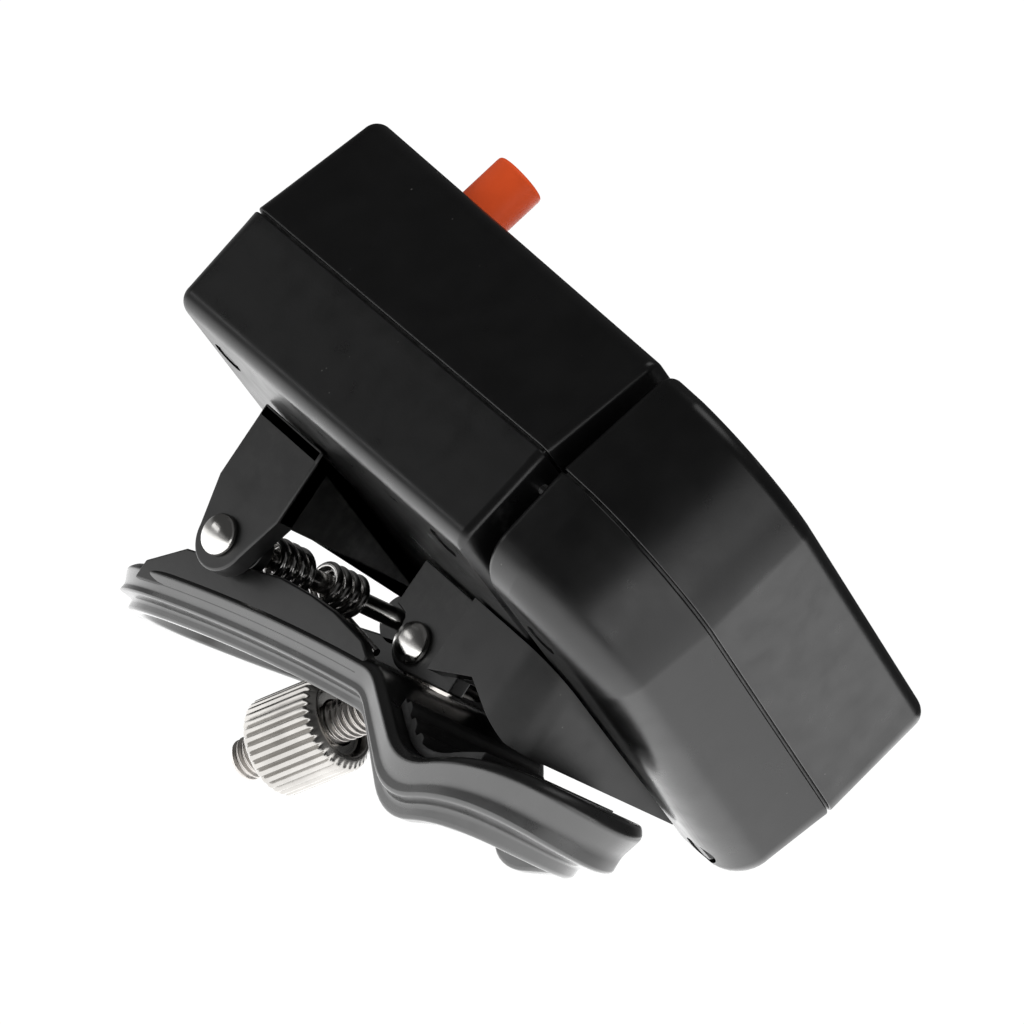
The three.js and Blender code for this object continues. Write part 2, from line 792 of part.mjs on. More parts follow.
// The worm is right-handed, with one thread whose crest faces the gear at its middle. Its skin has
// upright columns of points: the lower end, four points for each turn of thread, the upper end.
function wormBody() {
  const core = wormPitchRadius - gearModule * toothDedendumShare;
  const tip = wormPitchRadius + gearModule * toothAddendumShare;
  const bore = axleRadius + runGap / 4;
  const pitch = Math.PI * gearModule;
  const rootHalf = pitch * toothRootShare / 2 - toothSlack;
  const tipHalf = pitch * toothTipShare / 2;
  const end = wormLength / 2;
  const turns = Math.floor(wormLength / pitch) - 1;
  const corners = [];
  for (let k = 0; k < roundParts; k += 1) {
    const share = k / roundParts - turns / 2;
    const angle = quarter + turn * share;
    const column = [[bore, -end], [core, -end]];
    for (let n = 0; n < turns; n += 1) {
      const z = pitch * (n + share);
      column.push([core, z - rootHalf], [tip, z - tipHalf], [tip, z + tipHalf], [core, z + rootHalf]);
    }
    column.push([core, end], [bore, end]);
    column.forEach(([r, z]) => corners.push(r * Math.cos(angle), r * Math.sin(angle), z));
  }
  const count = turns * 4 + 4;
  const index = [];
  const quad = (p, q, r, s) => index.push(p, q, r, p, r, s);
  for (let k = 0; k + 1 < roundParts; k += 1) {
    for (let j = 0; j < count; j += 1) {
      const [here, up] = [k * count + j, k * count + (j + 1) % count];
      quad(here, here + count, up + count, up);
    }
  }
  // Past the last column the thread is one turn higher, so its ends run out over the barrel there
  const p = (roundParts - 1) * count;
  const last = count - 2;
  quad(p, 0, 1, p + 1);
  for (let j = 1; j < 6; j += 1) index.push(p + 1, j, j + 1);
  index.push(p + 1, 6, p + 2);
  for (let j = 2; j + 5 < last; j += 1) quad(p + j, j + 4, j + 5, p + j + 1);
  index.push(p + last - 5, last - 1, last);
  for (let j = last - 5; j < last; j += 1) index.push(p + j, last, p + j + 1);
  quad(p + last, last, last + 1, p + last + 1);
  quad(p + last + 1, last + 1, 0, p);
  const geometry = new THREE.BufferGeometry();
  geometry.setAttribute('position', new THREE.Float32BufferAttribute(corners, 3));
  geometry.setIndex(index);
  return geometry;
}

// Pieces are named, placed and coloured here
const counter = new THREE.Group();
const housing = new THREE.Group();
housing.position.set(slotPastRod - blockLength, -clampMiddle, seamHeight);
housing.rotation.x = -radians(housingTilt);
counter.add(housing);

function piece(name, geometry, colour, parent = counter, place = [0, 0, 0]) {
  const mesh = new THREE.Mesh(geometry, colour);
  mesh.name = name;
  mesh.position.set(...place);
  parent.add(mesh);
  return mesh;
}

// Housing shells and screws
function addShells() {
  piece('upper_case', upperCase(), blackPlastic, housing);
  piece('lower_case', lowerCase(), blackPlastic, housing);
  piece('nose_upper_case', noseUpperCase(), blackPlastic, housing);
  piece('nose_lower_case', noseLowerCase(), blackPlastic, housing);
  piece('window_lens', windowLens(), clearPlastic, housing);
  const seat = screwHeadSink - lowerDrop - restGap / 2;
  const length = screwBite - seat - restGap * 2;
  caseScrews.forEach(([x, y], i) => {
    piece(`case_screw_${i + 1}`, screw(length), steel, housing, [x, y, seat]);
  });
  noseScrews.forEach(([x, y], i) => {
    piece(`nose_screw_${i + 1}`, screw(length), steel, housing, [x, y, seat]);
  });
  const names = ['line_guide_near', 'line_guide_far'];
  guidePlaces.forEach((y, i) => {
    const guide = rodX(guideRadius, slotStart - guideEnd, slotEnd + guideEnd, y, -guideDrop);
    piece(names[i], guide, steel, housing);
  });
}

// Reset button, its spring and the reset lever
const buttonTop = fallenZ(buttonX, upperRise) + buttonRise;
const flangeTop = roofZ(buttonX) - restGap;
const flangeBottom = flangeTop - buttonFlange;

function buttonSpringPoints() {
  const bottom = buttonPostTop + restGap + buttonSpringWire / 2;
  const top = flangeBottom - restGap - buttonSpringWire / 2;
  const radius = buttonStemRadius + runGap + buttonSpringWire;
  const steps = buttonSpringTurns * curlSteps;
  return Array.from({ length: steps + 1 }, (_, i) => {
    const angle = turn * i / curlSteps;
    const z = bottom + (top - bottom) * i / steps;
    return new THREE.Vector3(radius * Math.cos(angle), radius * Math.sin(angle), z);
  });
}

function resetLever() {
  const start = buttonX - leverWidth / 2;
  const end = frameRight - framePlate - restGap;
  const half = leverThickness / 2;
  const tube = rodX(leverTubeRadius, start, end, 0, 0);
  const arm = box(start, start + leverWidth, -leverReach, 0, -half, half);
  const fingers = Array.from({ length: drumCount }, (_, i) => {
    const middle = firstDrum + drumStep * i + drumWidth + restGap;
    return box(middle, middle + fingerWidth, 0, fingerReach, -half, half);
  });
  const bore = rodX(leverPinRadius + runGap, start - overrun, end + overrun, 0, 0);
  return cut(join(tube, arm, ...fingers), bore);
}

function addReset() {
  const stemEnd = flangeBottom - buttonStemLength;
  const body = turned([
    [0, stemEnd], [buttonStemRadius, stemEnd], [buttonStemRadius, flangeBottom],
    [buttonFlangeRadius, flangeBottom], [buttonFlangeRadius, flangeTop], [buttonRadius, flangeTop],
    [buttonRadius, buttonTop - buttonEdge], [buttonRadius - buttonEdge, buttonTop], [0, buttonTop],
  ]);
  piece('reset_button', body, orangePlastic, housing, [buttonX, buttonY, 0]);
  const coil = wire(buttonSpringPoints(), buttonSpringWire / 2, wireSides);
  piece('button_spring', coil, steel, housing, [buttonX, buttonY, 0]);
  piece('reset_lever', resetLever(), greyPlastic, housing, [0, leverPinY, leverPinZ]);
  const pin = rodX(leverPinRadius, frameLeft - shaftEnd / 2, frameRight + shaftEnd / 2, 0, 0);
  piece('lever_pin', pin, steel, housing, [0, leverPinY, leverPinZ]);
}

// Measuring wheel on its upright axle
function addWheel() {
  const rim = wheelRadius - tyreDepth;
  const low = wheelMiddle - wheelWidth / 2;
  const web = wheelWeb / 2;
  const bore = axleRadius + runGap / 4;
  const wheel = turned([
    [bore, low], [rim, low], [rim, wheelTop], [rim - tyreDepth, wheelTop],
    [rim - tyreDepth, wheelMiddle + web], [hubRadius, wheelMiddle + web], [hubRadius, wheelTop],
    [bore, wheelTop], [bore, low],
  ], wheelParts);
  piece('measuring_wheel', wheel, greyPlastic, housing, [wheelX, wheelY, 0]);
  const edge = tyreDepth / 4;
  const seat = rim + padGap;
  const tyre = turned([
    [seat, low], [wheelRadius - edge, low], [wheelRadius, low + edge], [wheelRadius, wheelTop - edge],
    [wheelRadius - edge, wheelTop], [seat, wheelTop], [seat, low],
  ], wheelParts);
  piece('wheel_tyre', tyre, rubber, housing, [wheelX, wheelY, 0]);
  const bushLow = floorZ - wall / 2 + restGap;
  const shortBush = floorZ + bushLength / 2 - bushLow;
  piece('wheel_axle', rodZ(axleRadius, bushLow + restGap, axleTop - restGap, 0, 0), steel, housing,
    [wheelX, wheelY, 0]);
  piece('drive_worm', wormBody(), brass, housing, [wheelX, wheelY, -wormDrop]);
  const bush = (low, length) => turned([
    [axleRadius + runGap, low], [bushRadius, low], [bushRadius, low + length],
    [axleRadius + runGap, low + length], [axleRadius + runGap, low],
  ]);
  piece('lower_bush', bush(bushLow, shortBush), brass, housing, [wheelX, wheelY, 0]);
  piece('upper_bush', bush(axleTop - bushLength, bushLength), brass, housing, [wheelX, wheelY, 0]);
}

// Worm gear, its shaft and the pinion that turns the drums
const drumAngle = Math.atan2(drumDrop, drumY - gearShaftY);
const pinionX = drumStart + gearFace / 2;

function addGearShaft() {
  const bore = gearShaftRadius + runGap / 4;
  const place = (x) => [x, gearShaftY, -wormDrop];
  const towardsWorm = Math.PI;
  piece('worm_gear', gearX(wormGearTeeth, gearModule, bore, gearFace, towardsWorm), brass, housing,
    place(wormGearX));
  const end = wormGearX + gearFace + wall;
  piece('gear_shaft', rodX(gearShaftRadius, frameLeft - shaftEnd / 2, end, 0, 0), steel, housing,
    place(0));
  piece('drive_pinion', gearX(pinionTeeth, gearModule, bore, gearFace, drumAngle), brass, housing,
    place(pinionX));
}

// Number drums and transfer pinions
function drum(index) {
  const bore = gearShaftRadius + runGap;
  const half = drumWidth / 2;
  const hub = bore + drumWall;
  const rim = drumRadius - drumWall;
  const web = drumWall / 2;
  const body = turned([
    [bore, -half], [drumRadius, -half], [drumRadius, half], [rim, half], [rim, web], [hub, web],
    [hub, half], [bore, half], [bore, -half],
  ], wheelParts).rotateY(quarter);
  if (index === 0) {
    const towardsPinion = drumAngle + Math.PI + Math.PI / drumGearTeeth;
    const gear = gearX(drumGearTeeth, gearModule, bore, gearFace, towardsPinion);
    const collar = pushedTube(bore, hub, -half - restGap, -half + web);
    return join(body, gear.translate(-half - restGap - gearFace / 2, 0, 0), collar);
  }
  const facing = radians(transferAngle) + Math.PI / transferGearTeeth;
  const gear = gearX(transferGearTeeth, transferModule, bore, transferFace, facing);
  const overlap = runGap / 4;
  return join(body, gear.translate(-half - transferFace / 2 + overlap, 0, 0));
}

function pushedTube(inner, outer, x0, x1) {
  return turned([[inner, x0], [outer, x0], [outer, x1], [inner, x1], [inner, x0]]).rotateY(quarter);
}

function addDrums() {
  const names = ['units_drum', 'tens_drum', 'hundreds_drum'];
  names.forEach((name, i) => {
    const middle = firstDrum + drumWidth / 2 + drumStep * i;
    piece(name, drum(i), whitePlastic, housing, [middle, drumY, drumShaftRise]);
  });
  const shaftFrom = frameLeft - shaftEnd / 2;
  const shaftTo = frameRight + shaftEnd / 2;
  piece('drum_shaft', rodX(gearShaftRadius, shaftFrom, shaftTo, 0, 0), steel, housing,
    [0, drumY, drumShaftRise]);
  const facing = radians(transferAngle) + Math.PI;
  for (let i = 1; i < drumCount; i += 1) {
    const bore = transferShaftRadius + runGap;
    const pinion = gearX(transferTeeth, transferModule, bore, transferFace - runGap, facing);
    const middle = firstDrum + drumStep * i - transferFace / 2;
    piece(`transfer_pinion_${i}`, pinion, greyPlastic, housing, [middle, transferY, transferZ]);
  }
  piece('transfer_shaft', rodX(transferShaftRadius, shaftFrom, shaftTo, 0, 0), steel, housing,
    [0, transferY, transferZ]);
}

// The frame that carries the drums and their shafts
function frame() {
  const top = leverPinZ + leverTubeRadius;
  const plate = [
    [frameNear, frameFloor], [frameFar, frameFloor], [frameFar, -wormDrop + frameMargin],
    [drumY + frameMargin * 2, drumShaftRise + frameMargin * 2], [leverPinY + frameMargin, top],
    [leverPinY - frameMargin, top], [leverPinY - frameMargin, leverPinZ - frameMargin],
    [frameNear, transferZ + frameMargin],
  ];
  const plates = [frameLeft, frameRight].map((x) => pushedX(plate, x, x + framePlate));
  const floor = box(frameLeft, frameRight + framePlate, frameNear, frameFar, frameFloor,
    frameFloor + framePlate);
  const hole = (radius, y, z) => rodX(radius + runGap / 2, 0, blockLength, y, z);
  return cut(
    join(...plates, floor),
    hole(gearShaftRadius + runGap / 2, gearShaftY, -wormDrop),
    hole(gearShaftRadius, drumY, drumShaftRise),
    hole(transferShaftRadius, transferY, transferZ),
    hole(leverPinRadius, leverPinY, leverPinZ),
  );
}

// Pinch wheel on its sprung arm in the nose
function addPinch() {
  const arm = pinchBottom - restGap;
  const armLow = arm - pinchArmThickness;
  const bore = pinchAxleRadius + runGap;
  const half = pinchArmWidth / 2;
  const edge = pinchAxleRadius / 2;
  const wheel = turned([
    [bore, pinchBottom], [pinchRadius - edge, pinchBottom], [pinchRadius, pinchBottom + edge],
    [pinchRadius, pinchBottom + pinchWidth - edge], [pinchRadius - edge, pinchBottom + pinchWidth],
    [bore, pinchBottom + pinchWidth], [bore, pinchBottom],
  ], wheelParts);
  piece('pinch_wheel', wheel, whitePlastic, housing, [pinchX, wheelY, 0]);
  const cap = pinchBottom + pinchWidth + restGap;
  const axle = turned([
    [0, armLow], [pinchAxleRadius, armLow], [pinchAxleRadius, cap], [pinchAxleRadius * 2, cap],
    [pinchAxleRadius * 2, cap + pinchAxleRadius], [0, cap + pinchAxleRadius],
  ], smallParts);
  piece('pinch_axle', axle, steel, housing, [pinchX, wheelY, 0]);
  const outline = [
    ...arc(0, -pinchArmLength, half, 180, 360, smallParts / 2),
    ...arc(0, 0, half, 0, 180, smallParts / 2),
  ];
  const plate = cut(
    pushedZ(outline, armLow, arm),
    rodZ(pinchPivotRadius + runGap, armLow - overrun, arm + overrun, 0, 0),
    rodZ(pinchAxleRadius + runGap / 4, armLow - overrun, arm + overrun, 0, -pinchArmLength),
  );
  piece('pinch_arm', plate, greyPlastic, housing, [pinchX, pinchPivotY, 0]);
  const low = floorZ + wall + restGap;
  const high = roofZ(slotEnd) + wall / 2 - wall - restGap;
  piece('pinch_pivot', rodZ(pinchPivotRadius, low, high, pinchX, pinchPivotY), steel, housing);
  const from = pinchX + half + restGap;
  const strip = [
    [from, wheelY + wall], [from + pinchSpringThickness, wheelY + wall],
    [from + pinchSpringThickness + wall / 2, wheelY + pinchArmLength / 2],
    [from + pinchSpringThickness, pinchPivotY], [from, pinchPivotY],
    [from + wall / 2, wheelY + pinchArmLength / 2],
  ];
  piece('pinch_spring', pushedZ(strip, armLow, arm), steel, housing);
}

// Clamp bracket. The underside of the housing is the plane that closes it from above.
function aboveHousingFloor(clear) {
  const large = blockLength * 2;
  housing.updateMatrix();
  return box(-large, large, -large, large, -lowerDrop - clear, large).applyMatrix4(housing.matrix);
}

// Height of the underside of the housing over a place along the rod
function floorOver(y) {
  const depth = (y + clampMiddle + lowerDrop * Math.sin(lean)) / Math.cos(lean);
  return seamHeight - depth * Math.sin(lean) - lowerDrop * Math.cos(lean);
}
const bracketTop = floorOver(-lugWidth) + overrun;
const islandRight = jawPinX + lugRight;
const islandLeft = jawPinX - lugLeft;
// Here the underside of the housing comes down to the bottom of the block
const blockFar = (floorOver(0) - skirtBottom) / Math.tan(lean) + overrun;
// The link reaches under the screw at the far side of the frame
const linkDepth = bracketScrews[1][1] * Math.cos(lean) - (lowerDrop + restGap + baseThickness) * Math.sin(lean);
const linkNear = linkDepth - clampMiddle - linkLead;

function jawLug(y0, y1) {
  const shoulder = jawPinZ + lugShoulder;
  const outline = [
    [islandRight, shoulder], [islandRight, bracketTop], [islandLeft, bracketTop], [islandLeft, shoulder],
    ...arc(jawPinX, jawPinZ, lugRound, 190, 350, smallParts),
  ];
  return pushedY(outline, y0, y1);
}

function boltLug(y0, y1) {
  const left = boltPinX - boltLugLeft;
  const step = boltPinZ + boltLugStep;
  const right = skirtWall - skirtLeft;
  const outline = [
    [right, boltPinZ - boltLugRound / 2], [right, bracketTop], [left, bracketTop], [left, step],
    [boltPinX - boltLugRound - restGap, step - restGap],
    ...arc(boltPinX, boltPinZ, boltLugRound, 170, 290, smallParts),
  ];
  return pushedY(outline, y0, y1);
}

// Plan of the block: a straight near wall, a rounded near corner and a straight end wall
function blockPlan(shift) {
  return [
    [skirtEnd - shift, blockFar], [shift - skirtLeft, blockFar], [shift - skirtLeft, shift - skirtNear],
    ...arc(skirtEnd - skirtCorner, skirtCorner - skirtNear, skirtCorner - shift, -90, 0, smallParts / 2),
  ];
}

// The upper half of the clamp is an upside-down V
const notchSlope = Math.tan(radians(notchAngle));
function notch(clear) {
  const right = skirtEnd + overrun;
  const top = notchTop + clear;
  return pushedY([
    [-skirtLeft, top - notchSlope * skirtLeft], [-skirtLeft, -overrun], [right, -overrun],
    [right, top - notchSlope * right], [0, top],
  ], -lugWidth, housingDepth);
}

function bracketHeads(radius, depth) {
  return bracketScrews.map(([x, y]) => {
    housing.updateMatrix();
    const low = -lowerDrop - restGap - baseThickness - depth;
    return rodZ(radius, low, -lowerDrop, x, y).applyMatrix4(housing.matrix);
  });
}

function bracket() {
  const near = -lugWidth;
  const web = box(islandRight - webThickness, islandRight, near, blockFar, jawPinZ + lugShoulder, bracketTop);
  const island = box(islandLeft, islandRight, near, lugWidth, -overrun, bracketTop);
  const underPlate = aboveHousingFloor(restGap + baseThickness);
  const block = pushedZ(blockPlan(0), skirtBottom, bracketTop);
  const hollow = cut(pushedZ(blockPlan(skirtWall), -overrun, bracketTop + overrun), underPlate);
  const link = box(islandRight - webThickness, skirtWall - skirtLeft, linkNear, linkNear + linkWidth, -overrun,
    bracketTop);
  const jawRoom = rodY(earRadius + restGap, lugThickness - lugWidth, lugWidth - lugThickness, jawPinX, jawPinZ);
  const solid = join(
    cut(block, hollow),
    cut(join(common(join(island, link), underPlate), web), jawRoom),
    jawLug(near, near + lugThickness),
    jawLug(lugWidth - lugThickness, lugWidth),
    boltLug(-boltLugWidth, boltLugThickness - boltLugWidth),
    boltLug(boltLugWidth - boltLugThickness, boltLugWidth),
  );
  return cut(
    solid,
    aboveHousingFloor(restGap),
    notch(0),
    rodY(pinRadius + runGap / 2, -lugWidth * 2, lugWidth * 2, jawPinX, jawPinZ),
    rodY(pinRadius + runGap / 2, -lugWidth * 2, lugWidth * 2, boltPinX, boltPinZ),
    ...bracketHeads(screwHoleRadius, overrun),
  );
}

// A pin with a domed near head and a plain far end
function clampPin(half) {
  const dome = Array.from({ length: domeSteps }, (_, i) => {
    const angle = quarter * (i + 1) / domeSteps;
    return [rivetRadius * Math.sin(angle), -half - rivetDome * Math.cos(angle)];
  });
  return turned([[0, -half - rivetDome], ...dome, [pinRadius, -half], [pinRadius, half - padGap],
    [0, half - padGap]]).rotateX(-quarter);
}

// Upper pad: fills the hollow of the block above the V
function upperPad() {
  const shift = skirtWall + restGap;
  return cut(
    pushedZ(blockPlan(shift), skirtBottom, bracketTop),
    aboveHousingFloor(restGap + baseThickness + restGap),
    box(-blockLength, blockLength, upperPadFar, housingDepth, -overrun, bracketTop + overrun),
    notch(0),
    ...bracketHeads(screwHeadRadius + restGap, screwHeadHeight + restGap),
  );
}

function addBracket() {
  piece('clamp_bracket', bracket(), clampPlastic);
  piece('jaw_pin', clampPin(lugWidth + padGap), steel, counter, [jawPinX, 0, jawPinZ]);
  piece('bolt_pin', clampPin(boltLugWidth + padGap), steel, counter, [boltPinX, 0, boltPinZ]);
  piece('upper_pad', upperPad(), rubber);
  const seat = -lowerDrop - restGap - baseThickness - padGap;
  bracketScrews.forEach(([x, y], i) => {
    const length = bracketScrewBite - lowerDrop - seat - restGap;
    piece(`bracket_screw_${i + 1}`, screw(length), steel, housing, [x, y, seat]);
  });
}

// Lower jaw. Its top runs from a low left lobe over a crest into a V and up to the right lobe.
function sharpTop(x) {
  if (x < jawCrestX) {
    const share = (x - jawLeft) / (jawCrestX - jawLeft);
    return jawLeftZ + (jawCrestZ - jawLeftZ) * share + jawLeftBulge * 4 * share * (1 - share);
  }
  if (x < jawValleyX) {
    return jawCrestZ + (jawValleyZ - jawCrestZ) * (x - jawCrestX) / (jawValleyX - jawCrestX);
  }
  const share = (x - jawValleyX) / (jawRight - jawValleyX);
  return jawValleyZ + (jawRightZ - jawValleyZ) * share + jawRightBulge * 4 * share * (1 - share);
}

function jawTop(x) {
  for (const [middle, half] of [[jawCrestX, crestRound], [jawValleyX, valleyRound]]) {
    const share = (x - middle + half) / (2 * half);
    if (share > 0 && share < 1) {
      return sharpTop(middle - half) * (1 - share) ** 2 + sharpTop(middle) * 2 * share * (1 - share)
        + sharpTop(middle + half) * share ** 2;
    }
  }
  return sharpTop(x);
}

const leftMiddle = jawLeft + jawHalfWidth;
const rightMiddle = jawRight - jawHalfWidth;
const jawPlaces = [
  ...Array.from({ length: jawEndSteps }, (_, i) => leftMiddle + (jawCrestX - leftMiddle) * i / jawEndSteps),
  ...crestShares.map((share) => jawCrestX + crestRound * share),
  ...crestShares.map((share) => jawValleyX + valleyRound * share).filter((x) => x < rightMiddle),
  rightMiddle,
];

// The far side narrows from the crest to the valley
function pastCrest(x, end) {
  return Math.min(Math.max((x - jawCrestX) / (end - jawCrestX), 0), 1);
}
function farShare(x) {
  return 1 - (1 - jawFarWidth / jawHalfWidth) * pastCrest(x, jawValleyX);
}

// A ring round the plan of the jaw: inset from its edge and sunk below its top. It can sink
// further from the crest to the right end, and its right end can be drawn in.
function jawRing(inset, depth, more = 0, tuck = 0) {
  const radius = jawHalfWidth - inset;
  const end = (middle, from) => Array.from({ length: jawEndSteps - 1 }, (_, i) => {
    const angle = from + quarter * (i + 1) / jawEndSteps;
    return [middle + radius * Math.cos(angle), radius * Math.sin(angle)];
  });
  const near = [
    ...end(leftMiddle, Math.PI), ...jawPlaces.map((x) => [x, -radius]), ...end(rightMiddle, -quarter),
  ];
  const far = near.map(([x, y]) => [x, -y * farShare(x)]).reverse();
  const ring = [[leftMiddle - radius, 0], ...near, [rightMiddle + radius, 0], ...far];
  const drawn = (x) => x - tuck * Math.max(x - jawValleyX, 0) / (jawRight - jawValleyX);
  return ring.map(([x, y]) => {
    const place = drawn(x);
    return new THREE.Vector3(place, y, jawTop(place) - depth - more * pastCrest(place, jawRight));
  });
}

// Skin over jaw rings. Each end is closed by straight strips across the jaw.
function jawBody(levels) {
  const rings = levels.map((level) => jawRing(...level));
  const count = rings[0].length;
  const index = [];
  for (let ring = 0; ring + 1 < rings.length; ring += 1) {
    for (let i = 0; i < count; i += 1) {
      const a = ring * count + i;
      const b = ring * count + (i + 1) % count;
      index.push(a, b, b + count, a, b + count, a + count);
    }
  }
  const close = (start, down) => {
    const put = (a, b, c) => (down ? index.push(start + a, start + c, start + b)
      : index.push(start + a, start + b, start + c));
    for (let i = 0; i < count / 2; i += 1) {
      const [a, b] = [i, i + 1];
      const [c, d] = [(count - i - 1) % count, (count - i) % count];
      if (i > 0) put(a, c, d);
      if (i + 1 < count / 2) put(a, b, c);
    }
  };
  close(0, true);
  close((rings.length - 1) * count, false);
  const geometry = new THREE.BufferGeometry();
  const corners = rings.flat().flatMap((p) => [p.x, p.y, p.z]);
  geometry.setAttribute('position', new THREE.Float32BufferAttribute(corners, 3));
  geometry.setIndex(index);
  return geometry;
}

// Raised walls inside both edges of the jaw; they carry the ears round the jaw pin
function jawWall(y0, y1) {
  const crown = jawWallCrown.map(([x, z]) => [jawPinX + x, jawPinZ + z]);
  const bottom = jawPlaces.filter((x) => x > crown[0][0] && x < crown[crown.length - 1][0]).reverse();
  const low = (x) => [x, jawTop(x) - jawSide];
  return pushedY([...crown, low(crown[crown.length - 1][0]), ...bottom.map(low), low(crown[0][0])], y0, y1);
}

function lowerJaw() {
  const plate = jawBody([
    [jawChamfer, jawSideLow + jawChamfer, jawLowRightDrop], [0, jawSideLow, jawLowRightDrop],
    [0, jawSide, jawSideRightDrop], [jawBevel, 0],
  ]);
  const rim = jawBody([
    [jawRimInset, jawRimDrop, jawRimRightDrop, jawRimTuck], [jawRimInset, jawSide, 0, jawRimTuck],
  ]);
  const inset = jawRimInset + jawRimWall;
  const room = jawBody([
    [inset, jawRimDrop + overrun, jawRimRightDrop, jawRimTuck], [inset, jawPlate, 0, jawRimTuck],
  ]);
  const inner = jawWallOut - jawWallThickness;
  const ears = [[-jawWallOut, -inner], [inner, jawWallOut]].flatMap(([y0, y1]) => [
    jawWall(y0, y1), rodY(earRadius, y0, y1, jawPinX, jawPinZ),
  ]);
  return cut(
    join(cut(join(plate, rim), room), ...ears),
    rodY(pinRadius + runGap, -lugWidth, lugWidth, jawPinX, jawPinZ),
    box(boltSlotLeft, boltSlotRight, -boltSlotWidth / 2, boltSlotWidth / 2, -blockLength, overrun),
  );
}

// Lower pad: lies in the V and has raised bars across its left flank
function lowerPad() {
  const steps = smallParts;
  const xs = Array.from({ length: steps + 1 }, (_, i) => {
    return jawValleyX - padLeft + (padLeft + padRight) * i / steps;
  });
  const over = (x, rise) => [x, jawTop(x) + rise];
  const under = xs.map((x) => over(x, padGap));
  const outline = [...under, ...xs.reverse().map((x) => over(x, padGap + padThickness))];
  const body = pushedY(outline, -padNear, padFar);
  const bars = Array.from({ length: padRibs }, (_, i) => {
    const x = jawValleyX - padLeft + padRibWidth * (1 + padRibStepShare * i);
    const [foot, tip] = [padRibWidth / 2, padRibWidth * padRibTopShare / 2];
    const low = padThickness / 2;
    const high = padThickness + padRibHeight;
    const bar = [over(x - foot, low), over(x + foot, low), over(x + tip, high), over(x - tip, high)];
    return pushedY(bar, padRibWidth - padNear, padFar - padRibWidth);
  });
  return join(body, ...bars);
}

// Double torsion spring: two coils on the jaw pin joined by a bar
function springHalf(side) {
  const start = radians(coilStart);
  const turns = coilTurns + coilTurn / 360;
  const steps = Math.round(turns * curlSteps);
  const at = (share) => {
    const angle = start + turn * turns * share;
    const y = springMiddle + side * (springSpan / 2 + coilPitch * turns * share);
    return new THREE.Vector3(jawPinX + coilRadius * Math.cos(angle), y, jawPinZ + coilRadius * Math.sin(angle));
  };
  const coil = Array.from({ length: steps + 1 }, (_, i) => at(i / steps));
  const tangent = (angle) => new THREE.Vector3(-Math.sin(angle), 0, Math.cos(angle));
  const inner = coil[0].clone().addScaledVector(tangent(start), -innerLeg);
  const outer = coil[steps].clone().addScaledVector(tangent(start + turn * turns), outerLeg);
  return [inner, ...coil, outer];
}

function torsionSpring() {
  const near = springHalf(-1);
  const far = springHalf(1);
  const points = [...near.reverse(), ...far];
  const gap = leastGap(points, coilWire, curlSteps - 1);
  console.log(`torsion spring, least gap between turns: ${gap.toFixed(2)} mm`);
  return wire(points, coilWire / 2, wireSides);
}

// Swing bolt, washer and knurled nut, built about the bolt's own axis pointing down
function swingBolt() {
  const eye = rodY(boltEyeRadius, boltEyeNear, boltEyeFar, 0, 0);
  const shank = turned([
    [0, -boltLength], [boltRadius - boltTip, -boltLength], [boltRadius, boltTip - boltLength],
    [boltRadius, -boltEyeRadius / 2], [0, -boltEyeRadius / 2],
  ]);
  return cut(join(eye, shank), rodY(pinRadius + runGap, -lugWidth, lugWidth, 0, 0));
}

function thumbNut() {
  const step = turn / nutRibs;
  const outline = Array.from({ length: nutRibs }, (_, i) => nutRibShares.map((share, k) => {
    const radius = k === 1 || k === 2 ? nutRadius : nutRadius - nutRibHeight;
    const angle = step * (i + share);
    return [radius * Math.cos(angle), radius * Math.sin(angle)];
  })).flat();
  const outer = -nutInner - nutLength;
  const ribbed = pushedZ(outline, outer + nutEdge, -nutInner - nutEdge);
  const core = nutRadius - nutRibHeight - padGap;
  const barrel = turned([
    [0, outer], [core - nutEdge, outer], [core, outer + nutEdge], [core, -nutInner - nutEdge],
    [core - nutEdge, -nutInner], [0, -nutInner],
  ], roundParts * 2);
  return cut(
    join(ribbed, barrel),
    rodZ(boltRadius + runGap, outer - overrun, overrun - nutInner, 0, 0, roundParts),
    rodZ(nutRecessRadius, -nutInner - nutRecess, overrun - nutInner, 0, 0, roundParts),
  );
}

function washer() {
  const low = -nutInner - nutRecess + padGap;
  return turned([
    [boltRadius + runGap, low], [washerRadius, low], [washerRadius, low + washerThickness],
    [boltRadius + runGap, low + washerThickness], [boltRadius + runGap, low],
  ]);
}

function addJaw() {
  piece('lower_jaw', lowerJaw(), clampPlastic);
  piece('lower_pad', lowerPad(), rubber);
  piece('torsion_spring', torsionSpring(), steel);
  const axis = new THREE.Group();
  axis.position.set(boltPinX, 0, boltPinZ);
  axis.rotation.y = radians(boltLean);
  counter.add(axis);
  piece('swing_bolt', swingBolt(), steel, axis);
  piece('nut_washer', washer(), steel, axis);
  piece('thumb_nut', thumbNut(), steel, axis);
}

addShells();
addReset();
addWheel();
addGearShaft();
addDrums();
piece('counter_frame', frame(), steel, housing);
addPinch();
addBracket();
addJaw();

export default counter;
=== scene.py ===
# Fishing line counter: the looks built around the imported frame
import math

import bpy
import bmesh
import numpy as np
from mathutils import Matrix, Vector


